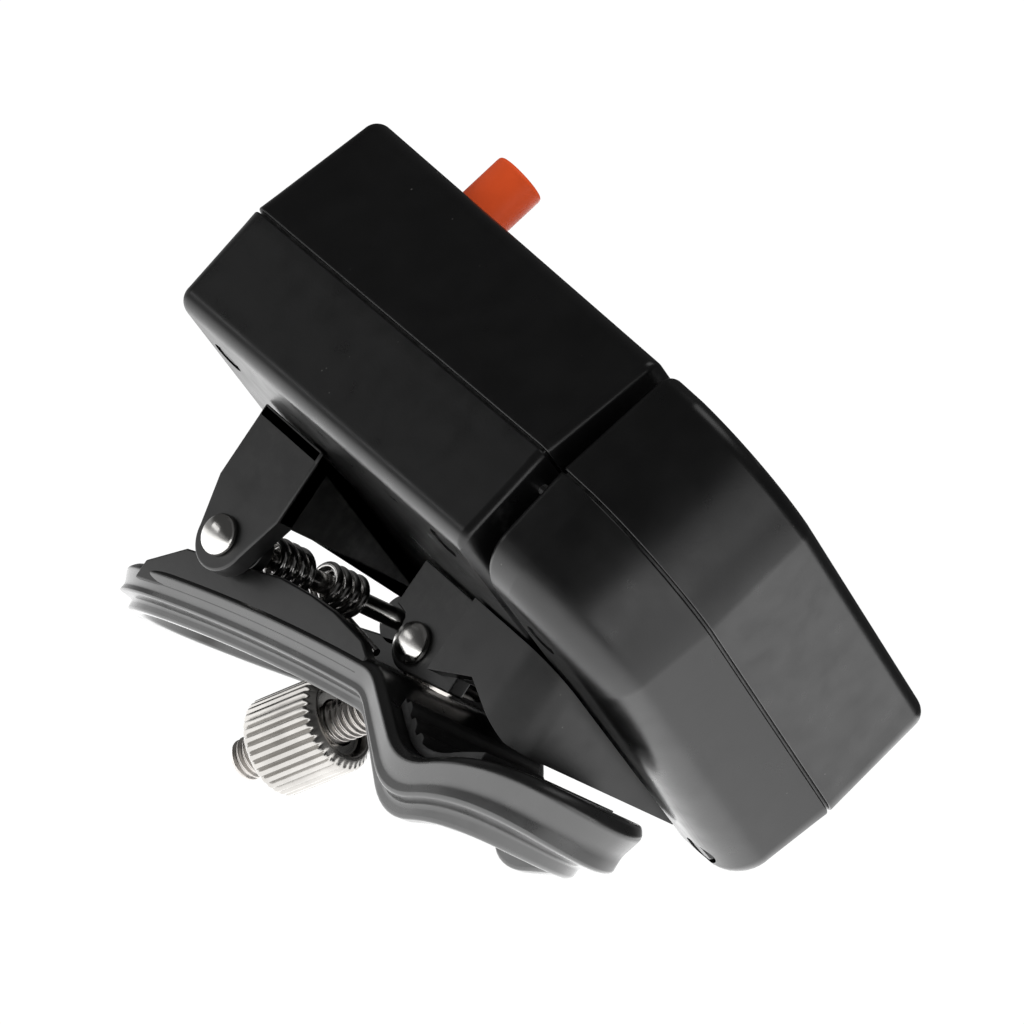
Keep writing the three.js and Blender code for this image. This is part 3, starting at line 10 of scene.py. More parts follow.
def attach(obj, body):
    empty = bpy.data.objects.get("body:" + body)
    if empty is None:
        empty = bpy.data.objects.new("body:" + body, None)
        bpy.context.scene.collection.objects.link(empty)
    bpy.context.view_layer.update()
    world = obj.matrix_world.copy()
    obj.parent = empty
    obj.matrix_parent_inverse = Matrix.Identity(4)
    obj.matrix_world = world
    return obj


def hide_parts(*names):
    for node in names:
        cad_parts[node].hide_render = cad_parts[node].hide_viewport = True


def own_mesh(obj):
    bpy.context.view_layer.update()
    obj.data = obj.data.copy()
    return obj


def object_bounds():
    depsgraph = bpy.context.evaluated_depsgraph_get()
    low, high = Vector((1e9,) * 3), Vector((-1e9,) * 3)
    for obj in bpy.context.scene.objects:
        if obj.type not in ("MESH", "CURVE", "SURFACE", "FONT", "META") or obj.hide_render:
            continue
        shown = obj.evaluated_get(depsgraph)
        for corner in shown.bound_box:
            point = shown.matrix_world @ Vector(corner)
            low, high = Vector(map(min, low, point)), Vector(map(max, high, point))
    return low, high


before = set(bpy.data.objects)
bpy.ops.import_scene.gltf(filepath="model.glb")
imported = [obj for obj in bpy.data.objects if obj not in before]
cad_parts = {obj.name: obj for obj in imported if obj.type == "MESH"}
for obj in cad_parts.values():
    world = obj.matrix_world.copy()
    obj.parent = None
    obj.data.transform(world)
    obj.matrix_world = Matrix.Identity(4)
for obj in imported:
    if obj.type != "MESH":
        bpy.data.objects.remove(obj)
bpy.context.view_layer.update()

MM = 0.001
scene = bpy.context.scene

# Camera and view
# The photograph looks past the near side of the tilted case, with the picture turned clockwise
camera_place = Vector((479.1, -521.8, 108.0)) * MM
camera_right = Vector((0.552, 0.622, 0.555)).normalized()
camera_back = Vector((0.685, -0.718, 0.123)).normalized()
camera_data = bpy.data.cameras.new("camera")
camera = bpy.data.objects.new("camera", camera_data)
scene.collection.objects.link(camera)
camera_up = camera_back.cross(camera_right).normalized()
camera_right = camera_up.cross(camera_back)
camera.matrix_world = Matrix((
    (camera_right.x, camera_up.x, camera_back.x, camera_place.x),
    (camera_right.y, camera_up.y, camera_back.y, camera_place.y),
    (camera_right.z, camera_up.z, camera_back.z, camera_place.z),
    (0, 0, 0, 1),
))
camera_data.sensor_width = 36
camera_data.lens = 246.09
camera_data.clip_start = 0.01
camera_data.clip_end = 50
scene.camera = camera
scene.view_settings.view_transform = "Standard"

# Sizes repeated from the part, in millimetres
TILT = math.radians(18.5)
DEPTH = 59.3
BLOCK = 55.5
SLOT = 1.8
NOSE_REACH, NOSE_FAR, NOSE_BEND, NOSE_INSET = 14.1, 9.3, 19.0, 1.2
UPPER_RISE, SLOT_RISE, LOWER_DROP = 16.1, 14.7, 12.7
SEAM = 0.3
DRAFT = math.tan(math.radians(5.5))
NOSE_DRAFT = math.tan(math.radians(1.4))
NOSE_LOW_DRAFT = math.tan(math.radians(5.5))
FILLET, SLOT_FILLET, NOSE_LOW_FILLET = 2.0, 0.8, 4.8
LEFT_CORNER, SLOT_CORNER, NOSE_CORNER, LEAST_CORNER = 3.2, 0.9, 4.5, 0.3
WALL = 2.0
REST = 0.3
SLOT_PAST_ROD, CLAMP_MIDDLE, SEAM_HIGH = 4.1, 25.0, 29.7
HOUSING = (Matrix.Translation((SLOT_PAST_ROD - BLOCK, -CLAMP_MIDDLE, SEAM_HIGH))
           @ Matrix.Rotation(-TILT, 4, "X"))
BUTTON = (14.0, 11.0)
ROD_ROOM, CHANNEL_WALL = 5.4, 1.8
V_SLOPE, V_TOP = math.tan(math.radians(23.3)), 5.0


# Meshes
def mesh_object(name, verts, faces, matrix=None):
    """A mesh object from millimetre points, placed by a matrix that is in millimetres too."""
    mesh = bpy.data.meshes.new(name)
    points = [Vector(v) for v in verts]
    if matrix is not None:
        points = [matrix @ p for p in points]
    mesh.from_pydata([p * MM for p in points], [], faces)
    mesh.validate()
    mesh.update()
    obj = bpy.data.objects.new(name, mesh)
    scene.collection.objects.link(obj)
    bm = bmesh.new()
    bm.from_mesh(mesh)
    bmesh.ops.recalc_face_normals(bm, faces=bm.faces)
    bm.to_mesh(mesh)
    bm.free()
    return obj


def use(obj, kind, **settings):
    """Adds a modifier, sets it and applies it at once."""
    modifier = obj.modifiers.new(kind.lower(), kind)
    for key, value in settings.items():
        setattr(modifier, key, value)
    graph = bpy.context.evaluated_depsgraph_get()
    graph.update()
    mesh = bpy.data.meshes.new_from_object(obj.evaluated_get(graph))
    obj.modifiers.clear()
    old = obj.data
    obj.data = mesh
    bpy.data.meshes.remove(old)
    return obj


def boolean(obj, tool, operation, solver="EXACT"):
    """Cuts, adds or keeps the overlap with a tool, which is used up."""
    use(obj, "BOOLEAN", operation=operation, object=tool, solver=solver)
    bpy.data.objects.remove(tool)


def join(name, *objs):
    """One object out of several, each of which stays a closed body."""
    bm = bmesh.new()
    for o in objs:
        bm.from_mesh(o.data)
    mesh = bpy.data.meshes.new(name)
    bm.to_mesh(mesh)
    bm.free()
    for o in objs:
        bpy.data.objects.remove(o)
    obj = bpy.data.objects.new(name, mesh)
    scene.collection.objects.link(obj)
    return obj


def smooth(obj, angle=32, weighted=True):
    obj.data.polygons.foreach_set("use_smooth", [True] * len(obj.data.polygons))
    obj.data.set_sharp_from_angle(angle=math.radians(angle))
    if weighted:
        use(obj, "WEIGHTED_NORMAL", keep_sharp=True, weight=50)
    return obj


def bevel(obj, width, segments=3, angle=30):
    return use(obj, "BEVEL", width=width * MM, segments=segments, limit_method="ANGLE",
               angle_limit=math.radians(angle), use_clamp_overlap=True, miter_outer="MITER_ARC")


def finish_piece(obj, body, slot, material, *nodes):
    """Gives a piece its material, its body and the CAD nodes that it stands for."""
    obj.data.materials.clear()
    obj.data.materials.append(material)
    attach(obj, body)
    if nodes:
        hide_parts(*nodes)


def loft(rings, strips=False, hoop=False):
    """Faces over equal rings of points. Each end gets one face or strips across; a hoop joins its ends."""
    count, last = len(rings[0]), len(rings) - 1
    verts = [p for ring in rings for p in ring]
    faces = []
    for r in range(last + 1 if hoop else last):
        after = (r + 1) % len(rings)
        for i in range(count):
            j = (i + 1) % count
            faces.append((r * count + i, r * count + j, after * count + j, after * count + i))
    if strips:
        for start in (0, last * count):
            for i in range(count // 2):
                c, d = start + (count - i - 1) % count, start + (count - i) % count
                faces.append(tuple(dict.fromkeys((start + i, start + i + 1, c, d))))
    elif not hoop:
        faces.append(tuple(range(count)))
        faces.append(tuple(range(last * count, (last + 1) * count)))
    return verts, [f for f in faces if len(f) > 2]


def turned(name, outline, parts=64, matrix=None):
    """A turned body about Z; the outline is (radius, height) and closes on the axis or on itself."""
    verts, faces, rows = [], [], []
    for radius, height in outline:
        if radius < 1e-6:
            rows.append([len(verts)])
            verts.append((0, 0, height))
        else:
            rows.append(list(range(len(verts), len(verts) + parts)))
            verts += [(radius * math.cos(2 * math.pi * i / parts), radius * math.sin(2 * math.pi * i / parts),
                       height) for i in range(parts)]
    pairs = list(zip(rows, rows[1:]))
    if len(rows[0]) > 1 and len(rows[-1]) > 1:
        pairs.append((rows[-1], rows[0]))
    for low, high in pairs:
        for i in range(parts):
            j = (i + 1) % parts
            if len(low) == 1 and len(high) == 1:
                continue
            if len(low) == 1:
                faces.append((low[0], high[j], high[i]))
            elif len(high) == 1:
                faces.append((low[i], low[j], high[0]))
            else:
                faces.append((low[i], low[j], high[j], high[i]))
    return mesh_object(name, verts, faces, matrix)


def rounded(points, radius, steps=5, share=0.45, least_bend=0.0):
    """An open run of points of any size with its inner corners rounded, but for bends under the least."""
    out = [points[0]]
    for a, b, c in zip(points, points[1:], points[2:]):
        a, b, c = Vector(a), Vector(b), Vector(c)
        if least_bend and (b - a).angle(c - b) < least_bend:
            out.append(b)
            continue
        r = min(radius, (a - b).length * share, (c - b).length * share)
        p, q = b + (a - b).normalized() * r, b + (c - b).normalized() * r
        for k in range(steps + 1):
            t = k / steps
            out.append(tuple(p * (1 - t) ** 2 + b * 2 * t * (1 - t) + q * t ** 2))
    out.append(points[-1])
    return out


def prism_faces(count):
    """Faces of a closed body between two equal outlines."""
    sides = [(i, (i + 1) % count, count + (i + 1) % count, count + i) for i in range(count)]
    return sides + [tuple(range(count)), tuple(range(count, 2 * count))]


def extruded(name, outline, low, high, axis="Y", matrix=None):
    """A flat outline of (x, z) or (x, y) pushed along Y or Z between two places."""
    put = (lambda a, b, t: (a, t, b)) if axis == "Y" else (lambda a, b, t: (a, b, t))
    verts = [put(a, b, low) for a, b in outline] + [put(a, b, high) for a, b in outline]
    return mesh_object(name, verts, prism_faces(len(outline)), matrix)


def cylinder(name, radius, low, high, axis, a, b, parts=64, matrix=None):
    """A plain round body along Y or Z round the place (a, b), for cuts and pins."""
    angles = [2 * math.pi * i / parts for i in range(parts)]
    ring = [(a + radius * math.cos(t), b + radius * math.sin(t)) for t in angles]
    return extruded(name, ring, low, high, axis, matrix)


def cuboid(name, x, y, z, matrix=None):
    outline = [(x[0], y[0]), (x[1], y[0]), (x[1], y[1]), (x[0], y[1])]
    return extruded(name, outline, z[0], z[1], "Z", matrix)


def arc(x, y, radius, start, end, steps):
    """Points on part of a circle between two angles in degrees."""
    angles = [math.radians(start + (end - start) * i / steps) for i in range(steps + 1)]
    return [(x + radius * math.cos(a), y + radius * math.sin(a)) for a in angles]


# Shells of the housing
def inset_outline(corners):
    """Outline of corners (x, y, shift, radius, steps): the shift moves the side that starts there inwards."""
    count = len(corners)
    lines = []
    for i, (x, y, shift, _, _) in enumerate(corners):
        nx, ny = corners[(i + 1) % count][:2]
        length = math.hypot(nx - x, ny - y)
        dx, dy = (nx - x) / length, (ny - y) / length
        lines.append((x - dy * shift, y + dx * shift, dx, dy))
    out = []
    for i, (_, _, _, radius, steps) in enumerate(corners):
        ax, ay, adx, ady = lines[i - 1]
        bx, by, bdx, bdy = lines[i]
        cross = adx * bdy - ady * bdx
        along = ((bx - ax) * bdy - (by - ay) * bdx) / cross
        x, y = ax + adx * along, ay + ady * along
        if not steps:
            out.append((x, y))
            continue
        bend = math.atan2(cross, adx * bdx + ady * bdy)
        back = radius * math.tan(bend / 2)
        cx, cy = x - adx * back - ady * radius, y - ady * back + adx * radius
        start = math.atan2(-adx, ady)
        angles = [start + bend * k / steps for k in range(steps + 1)]
        out += [(cx + radius * math.cos(a), cy + radius * math.sin(a)) for a in angles]
    return out


def block_outline(shift, slot_shift):
    """Plan of the case, drawn in by a shift on three sides and by its own shift along the slot."""
    left = max(LEFT_CORNER - shift, LEAST_CORNER)
    slot = max(SLOT_CORNER - slot_shift, LEAST_CORNER)
    return inset_outline([
        (0, 0, shift, left, 12), (BLOCK, 0, slot_shift, slot, 6),
        (BLOCK, DEPTH, shift, slot, 6), (0, DEPTH, shift, left, 12),
    ])


def nose_outline(shift, slot_shift):
    """Plan of the nose: a bow at the near end, then a straight side to the far corner."""
    start = BLOCK + SLOT
    slot = max(SLOT_CORNER - slot_shift, LEAST_CORNER)
    far = max(NOSE_CORNER - shift, LEAST_CORNER)
    steps, first = 36, 8
    reach = NOSE_BEND - NOSE_INSET
    bow = []
    for i in range(first, steps + 1):
        angle = math.pi / 2 * i / steps
        bow.append((start + NOSE_REACH * math.sin(angle), NOSE_BEND - reach * math.cos(angle), shift, 0, 0))
    return inset_outline([
        (start, NOSE_INSET, shift, slot, 6), *bow,
        (start + NOSE_FAR, DEPTH, shift, far, 12), (start, DEPTH, slot_shift, slot, 6),
    ])


FALL = 1 - SLOT_RISE / UPPER_RISE


def fallen(x, z):
    """The height z over the seam, lowered as the roof falls towards the slot."""
    return z * (1 - FALL * min(x / BLOCK, 1)) if z > 0 else z


def ring_points(outline, shift, slot_shift, side, z):
    return [(x, y, fallen(x, side * z)) for x, y in outline(shift, slot_shift)]


def shell_rings(outline, draft, side, rise, fillet=FILLET, edge=0.22):
    """Rings over the outside of one half from the seam to its flat face."""
    edge_steps, side_steps, fillet_steps = 3, 6, 12
    rings = []
    start, top = SEAM / 2, rise - fillet
    for k in range(edge_steps + 1):
        a = math.pi / 2 * k / edge_steps
        inset, height = edge * (1 - math.sin(a)), start + edge * (1 - math.cos(a))
        rings.append(ring_points(outline, start * draft + inset, inset, side, height))
    for k in range(1, side_steps):
        z = start + edge + (top - start - edge) * k / side_steps
        rings.append(ring_points(outline, z * draft, 0, side, z))
    for k in range(fillet_steps + 1):
        a = math.pi / 2 * k / fillet_steps
        bend = 1 - math.cos(a)
        rings.append(ring_points(outline, top * draft + fillet * bend, SLOT_FILLET * bend, side,
                                 top + fillet * math.sin(a)))
    return rings


def shell(name, outline, draft, side, rise, fillet=FILLET):
    """A hollow half with an even wall, open at the seam."""
    outside = shell_rings(outline, draft, side, rise, fillet)
    roof, corner = rise - WALL, 1
    inside = [ring_points(outline, WALL + SEAM / 2 * draft, WALL, side, SEAM / 2),
              ring_points(outline, WALL + (roof - corner) * draft, WALL, side, roof - corner),
              ring_points(outline, WALL + corner + roof * draft, WALL + corner, side, roof)]
    return mesh_object(name, *loft(outside[::-1] + inside), HOUSING)


def lip(name, outline):
    """The tongue behind the seam, which keeps light out of the case."""
    outer, inner, high = 0.5, 1.5, 1.0
    rings = [ring_points(outline, inset, inset, side, high)
             for inset, side in ((outer, -1), (outer, 1), (inner, 1), (inner, -1))]
    return mesh_object(name, *loft(rings, hoop=True), HOUSING)


# Materials
def node(tree, kind, **values):
    n = tree.nodes.new("ShaderNode" + kind)
    for key, value in values.items():
        if key in n.inputs:
            n.inputs[key].default_value = value
        else:
            setattr(n, key, value)
    return n


def linked(tree, kind, *sources, **values):
    """A node whose first inputs take the given sockets; None leaves an input alone."""
    n = node(tree, kind, **values)
    for socket, source in zip(n.inputs, sources):
        if source is not None:
            tree.links.new(source, socket)
    return n


def ramp(tree, source, stops):
    """A colour or a grey for each value of a socket, between the given stops."""
    r = linked(tree, "ValToRGB", source)
    while len(r.color_ramp.elements) < len(stops):
        r.color_ramp.elements.new(0.5)
    for element, (place, value) in zip(r.color_ramp.elements, stops):
        element.position = place
        element.color = (value, value, value, 1) if isinstance(value, (int, float)) else (*value, 1)
    return r.outputs["Color"]


def mixed(tree, factor, a, b):
    """Mixes two colours or colour sockets by a socket."""
    m = linked(tree, "Mix", factor, data_type="RGBA")
    for socket, value in ((m.inputs[6], a), (m.inputs[7], b)):
        if isinstance(value, bpy.types.NodeSocket):
            tree.links.new(value, socket)
        else:
            socket.default_value = (*value, 1)
    return m.outputs[2]


def surface(name, colour, rough, grain=(2500, 0.000006), mottle=0.15, rough_spread=0.06, metallic=0.0,
            wear=None, wear_from=0.53, dust=0.0, specular=0.5, transmission=0.0):
    """A procedural surface: colour variation, fine grain, uneven gloss, worn edges and dust.

    The grain is (scale, height in metres); wear is the colour of worn edges and dust is how light specks are.
    """
    material = bpy.data.materials.new(name)
    material.use_nodes = True
    tree = material.node_tree
    shader = tree.nodes["Principled BSDF"]
    place = node(tree, "TexCoord").outputs["Object"]

    def noise(scale, detail):
        return linked(tree, "TexNoise", place, Scale=scale, Detail=detail).outputs["Fac"]

    def product(a, b):
        return linked(tree, "Math", a, b, operation="MULTIPLY").outputs[0]

    dark = tuple(c * (1 - mottle) for c in colour)
    light = tuple(min(1, c * (1 + mottle)) for c in colour)
    out = mixed(tree, ramp(tree, noise(180, 5), [(0.35, 0.0), (0.65, 1.0)]), dark, light)
    if wear:
        point = node(tree, "NewGeometry").outputs["Pointiness"]
        edges = ramp(tree, point, [(wear_from, 0.0), (wear_from + 0.07, 1.0)])
        patch = ramp(tree, noise(900, 4), [(0.42, 0.0), (0.7, 1.0)])
        out = mixed(tree, product(edges, patch), out, wear)
    if dust:
        cells = linked(tree, "TexVoronoi", place, Scale=420.0)
        specks = ramp(tree, cells.outputs["Distance"], [(0.03, 1.0), (0.05, 0.0)])
        rare = ramp(tree, noise(60, 2), [(0.54, 0.0), (0.6, dust)])
        out = mixed(tree, product(specks, rare), out, (0.35, 0.34, 0.32))
    tree.links.new(out, shader.inputs["Base Color"])
    smoothest, roughest = max(rough - rough_spread, 0.02), min(rough + rough_spread, 1)
    gloss = ramp(tree, noise(320, 5), [(0.3, smoothest), (0.7, roughest)])
    tree.links.new(gloss, shader.inputs["Roughness"])
    bump = node(tree, "Bump", Strength=1.0, Distance=grain[1])
    tree.links.new(noise(grain[0], 3), bump.inputs["Height"])
    tree.links.new(bump.outputs["Normal"], shader.inputs["Normal"])
    shader.inputs["Metallic"].default_value = metallic
    shader.inputs["Specular IOR Level"].default_value = specular
    shader.inputs["Transmission Weight"].default_value = transmission
    return material


case_black = surface("case_black", (0.0045, 0.0045, 0.0047), 0.32, (3200, 0.0000045), 0.2, 0.05,
                     wear=(0.03, 0.03, 0.03), dust=0.25)
clamp_black = surface("clamp_black", (0.007, 0.007, 0.007), 0.36, (2600, 0.000005), 0.2, 0.06,
                      wear=(0.04, 0.04, 0.038), dust=0.7)
# A lighter and more specular copy of clamp_black, for the jaw's body only, though its walls are the same
# plastic: painted sheen
jaw_black_painted_sheen = surface("jaw_black_painted_sheen", (0.009, 0.009, 0.009), 0.3, (2600, 0.000005), 0.2, 0.05,
                    wear=(0.05, 0.05, 0.048), dust=0.7, specular=1.0)
button_orange = surface("button_orange", (0.95, 0.105, 0.018), 0.4, (1800, 0.000004), 0.06, 0.05,
                        wear=(0.9, 0.16, 0.05), wear_from=0.56, specular=0.2)
pin_steel = surface("pin_steel", (0.62, 0.61, 0.59), 0.2, (2200, 0.000008), 0.1, 0.07, metallic=1.0)
spring_steel = surface("spring_steel", (0.5, 0.49, 0.48), 0.18, (2600, 0.000006), 0.12, 0.06, metallic=1.0)
bolt_steel = surface("bolt_steel", (0.42, 0.40, 0.38), 0.3, (1800, 0.00001), 0.15, 0.08, metallic=1.0)
nut_nickel = surface("nut_nickel", (0.34, 0.33, 0.315), 0.27, (1500, 0.000012), 0.12, 0.07, metallic=1.0,
                     wear=(0.8, 0.79, 0.77), wear_from=0.56)
inner_steel = surface("inner_steel", (0.48, 0.48, 0.48), 0.32, (1500, 0.000008), 0.1, 0.08, metallic=1.0)
screw_black = surface("screw_black", (0.03, 0.03, 0.03), 0.4, (1500, 0.000008), 0.1, 0.08, metallic=1.0)
inner_brass = surface("inner_brass", (0.62, 0.42, 0.15), 0.3, (1500, 0.000008), 0.12, 0.08, metallic=1.0)
pad_rubber = surface("pad_rubber", (0.012, 0.012, 0.012), 0.62, (2400, 0.000012), 0.2, 0.08,
                     wear=(0.05, 0.05, 0.05))
drum_white = surface("drum_white", (0.72, 0.72, 0.69), 0.42, (1600, 0.000005), 0.04, 0.05)
inner_grey = surface("inner_grey", (0.09, 0.095, 0.1), 0.48, (1600, 0.000006), 0.12, 0.06)
digit_black = surface("digit_black", (0.012, 0.012, 0.013), 0.5, (1600, 0.000004), 0.1, 0.05)
lens_clear = surface("lens_clear", (0.93, 0.95, 0.96), 0.06, (900, 0.000001), 0.02, 0.02, transmission=0.92)

SLOT_MATERIALS = {
    "black_plastic": case_black, "clamp_plastic": clamp_black, "orange_plastic": button_orange,
    "clear_plastic": lens_clear, "white_plastic": drum_white, "grey_plastic": inner_grey,
    "rubber": pad_rubber, "steel": inner_steel, "brass": inner_brass,
}
for name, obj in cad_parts.items():
    old = obj.data.materials[0].name.split(".")[0] if obj.data.materials else "steel"
    kept = screw_black if "_screw_" in name else SLOT_MATERIALS.get(old, inner_steel)
    obj.data.materials.clear()
    obj.data.materials.append(kept)

# Case halves
TYRE_RADIUS, TYRE_PAST_CASE = 8.983, 0.9
WHEEL = (BLOCK + TYRE_PAST_CASE - TYRE_RADIUS, 29.0)
WINDOW, WINDOW_HALVES, LEDGE_HALVES, LEDGE_LOW = (23.15, 30.70), (11.5, 5.5), (12.7, 6.7), 14.15
BUTTON_HOLE, WHEEL_GAP_HALF = 3.35, 8.1
SCREW_EDGE, CASE_SCREW_NEAR, NOSE_SCREW_NEAR = 6.4, 8.4, 12.8
NOSE_SCREW_IN, HEAD_RADIUS, HEAD_DEPTH = 4.6, 1.95, 1.5
BEYOND = LOWER_DROP + 5


def window_cut(shell_object, halves, low):
    """Cuts the window's opening or its ledge through the roof of the case."""
    sides = [(middle - half, middle + half) for middle, half in zip(WINDOW, halves)]
    boolean(shell_object, cuboid("window", *sides, (low, 25), HOUSING), "DIFFERENCE")


def screw_cuts(shell_object, places, solver="EXACT"):
    """Cuts the recesses of screw heads into the underside."""
    for x, y in places:
        head = cylinder("head", HEAD_RADIUS, -BEYOND, HEAD_DEPTH - LOWER_DROP, "Z", x, y, 32, HOUSING)
        boolean(shell_object, head, "DIFFERENCE", solver)


upper = shell("upper_case_skin", block_outline, DRAFT, 1, UPPER_RISE)
window_cut(upper, WINDOW_HALVES, 5)
window_cut(upper, LEDGE_HALVES, LEDGE_LOW)
boolean(upper, cylinder("hole", BUTTON_HOLE, 5, 25, "Z", *BUTTON, matrix=HOUSING), "DIFFERENCE")
gap_sides = (WHEEL[1] - WHEEL_GAP_HALF, WHEEL[1] + WHEEL_GAP_HALF)
boolean(upper, cuboid("wheel_gap", (BLOCK - 7, BLOCK + 5), gap_sides, (-5, 5), HOUSING), "DIFFERENCE")
smooth(upper)
finish_piece(upper, "housing", "black_plastic", case_black, "upper_case")

lower = shell("lower_case_skin", block_outline, DRAFT, -1, LOWER_DROP)
channel_wall = mesh_object("channel_wall", *loft(shell_rings(block_outline, DRAFT, -1, LOWER_DROP)), HOUSING)
boolean(channel_wall, cylinder("skin", ROD_ROOM + CHANNEL_WALL, -60, 60, "Y", 0, 0), "INTERSECT")
boolean(lower, channel_wall, "UNION")
boolean(lower, cylinder("rod", ROD_ROOM, -60, 60, "Y", 0, 0, 96), "DIFFERENCE")
screw_cuts(lower, [
    (SCREW_EDGE, CASE_SCREW_NEAR), (SCREW_EDGE, DEPTH - SCREW_EDGE),
    (BLOCK - SCREW_EDGE, SCREW_EDGE), (BLOCK - SCREW_EDGE, DEPTH - SCREW_EDGE),
])
smooth(lower)
lower = join("lower_case_skin", lower, smooth(lip("lip", block_outline)))
finish_piece(lower, "housing", "black_plastic", case_black, "lower_case")

nose_upper = smooth(shell("nose_upper_skin", nose_outline, NOSE_DRAFT, 1, UPPER_RISE))
finish_piece(nose_upper, "housing", "black_plastic", case_black, "nose_upper_case")
nose_lower = shell("nose_lower_skin", nose_outline, NOSE_LOW_DRAFT, -1, LOWER_DROP, NOSE_LOW_FILLET)
nose_screw_x = BLOCK + SLOT + NOSE_SCREW_IN
screw_cuts(nose_lower, [(nose_screw_x, NOSE_SCREW_NEAR), (nose_screw_x, DEPTH - SCREW_EDGE)], "MANIFOLD")
smooth(nose_lower)
nose_lower = join("nose_lower_skin", nose_lower, smooth(lip("nose_lip", nose_outline)))
finish_piece(nose_lower, "housing", "black_plastic", case_black, "nose_lower_case")

# Reset button with a softly rounded end
BUTTON_RADIUS, BUTTON_HIGH, FLANGE_RADIUS, FLANGE_THICK = 3.1, 6.6, 4.2, 1.2
POST_RADIUS, POST_LONG = 1.5, 15.0
top = fallen(BUTTON[0], UPPER_RISE) + BUTTON_HIGH
flange = fallen(BUTTON[0], UPPER_RISE - WALL) - REST
flange_low = flange - FLANGE_THICK
button_line = rounded([
    (0, flange_low - POST_LONG), (POST_RADIUS, flange_low - POST_LONG), (POST_RADIUS, flange_low),
    (FLANGE_RADIUS, flange_low), (FLANGE_RADIUS, flange), (BUTTON_RADIUS, flange), (BUTTON_RADIUS, top),
    (0.0, top),
], 0.55, 7)
button_place = HOUSING @ Matrix.Translation((*BUTTON, 0))
button = smooth(turned("reset_button_cap", button_line, 96, button_place))
finish_piece(button, "button", "orange_plastic", button_orange, "reset_button")


# Clamp bracket
def floor_over(y):
    """Height just under the underside of the case over a place along the rod."""
    depth = (y + CLAMP_MIDDLE + LOWER_DROP * math.sin(TILT)) / math.cos(TILT)
    return SEAM_HIGH - depth * math.sin(TILT) - (LOWER_DROP + REST) * math.cos(TILT)


def plate(name, outline, y0, y1):
    """A lug with its top cut to the underside of the case; outline heights of None mean that top."""
    verts = []
    for y in (y0, y1):
        verts += [(x, y, floor_over(y) if z is None else z) for x, z in outline]
    return bevel(mesh_object(name, verts, prism_faces(len(outline))), 0.28)


def lug_pair(name, outline, half, thick):
    """A lug and its twin on the far side."""
    return [plate(name + "_near", outline, -half, thick - half),
            plate(name + "_far", outline, half - thick, half)]


JAW_PIN, BOLT_PIN = (-35.0, -0.3), (-11.4, 3.1)
LUG, LUG_THICK, BOLT_LUG, BOLT_LUG_THICK = 17.2, 2.6, 8.8, 2.4
LUG_RADIUS, BOLT_LUG_RADIUS = 3.8, 3.1
BASE_THICK, LEAST_THICK, WEB_THICK, WEB_INSET = 1.55, 0.05, 2.4, 0.2
LINK_RIGHT, LINK_NEAR, LINK_FAR = -3.9, 8.3, 14.0
right, left = JAW_PIN[0] + 5.6, JAW_PIN[0] - 5.5
shoulder = JAW_PIN[1] + 4.8
jaw_lug = [
    (right, shoulder), (right, None), (left, None), (left, shoulder),
    *arc(*JAW_PIN, LUG_RADIUS, 190, 350, 28),
]
bolt_right, bolt_left = -3.7, BOLT_PIN[0] - 5.4
bolt_lug = [
    (bolt_right, BOLT_PIN[1] - 1.55), (bolt_right, None), (bolt_left, None), (bolt_left, BOLT_PIN[1] + 2),
    (BOLT_PIN[0] - 3.4, BOLT_PIN[1] + 1.7), *arc(*BOLT_PIN, BOLT_LUG_RADIUS, 170, 290, 22),
]
pieces = lug_pair("lug", jaw_lug, LUG, LUG_THICK) + lug_pair("bolt_lug", bolt_lug, BOLT_LUG, BOLT_LUG_THICK)

BLOCK_LEFT, BLOCK_RIGHT, BLOCK_NEAR, BLOCK_FAR, BLOCK_CORNER = -5.8, 8.8, -11, 17.2, 5
BLOCK_WALL, BLOCK_LOW = 2.1, 1.8


def wall_plan(shift):
    """Open plan of the block: left wall, near wall and rounded corner to the end wall."""
    near = BLOCK_NEAR + shift
    plan = [(BLOCK_LEFT + shift, y) for y in (BLOCK_FAR, 12.0, 8.0, 0.0, -6.0, near)]
    plan += [(x, near) for x in (-3.0, -1.5, 0.0, 1.5)]
    plan += arc(BLOCK_RIGHT - BLOCK_CORNER, BLOCK_NEAR + BLOCK_CORNER, BLOCK_CORNER - shift, -90, 0, 18)
    return plan + [(BLOCK_RIGHT - shift, y) for y in (-3.0, 2.0, 8.0, 12.0, BLOCK_FAR)]


def block_bottom(x):
    return max(BLOCK_LOW, V_TOP - V_SLOPE * abs(x))


def block_walls():
    """The walls of the block, cut to the V below and to the underside of the case above."""
    outer, inner = wall_plan(0), wall_plan(BLOCK_WALL)
    count = len(outer)
    verts = []
    for x, y in outer + inner:
        high = floor_over(y)
        verts += [(x, y, min(block_bottom(x), high - LEAST_THICK)), (x, y, high)]
    faces = []
    o = 2 * count
    for i in range(count - 1):
        a, b = 2 * i, 2 * i + 2
        faces += [(a, b, b + 1, a + 1), (o + a, o + a + 1, o + b + 1, o + b),
                  (a, o + a, o + b, b), (a + 1, b + 1, o + b + 1, o + a + 1)]
    last = o - 2
    faces += [(0, 1, o + 1, o), (last, o + last, o + last + 1, last + 1)]
    return bevel(mesh_object("block_walls", verts, faces), 0.3)


def block_roof():
    """The plate between the walls, which follows the underside of the case."""
    into_walls = 0.8
    plan = wall_plan(into_walls)
    verts = [(x, y, max(floor_over(y) - BASE_THICK, BLOCK_LOW + LEAST_THICK)) for x, y in plan]
    verts += [(x, y, floor_over(y)) for x, y in plan]
    return mesh_object("block_roof", verts, prism_faces(len(plan)))


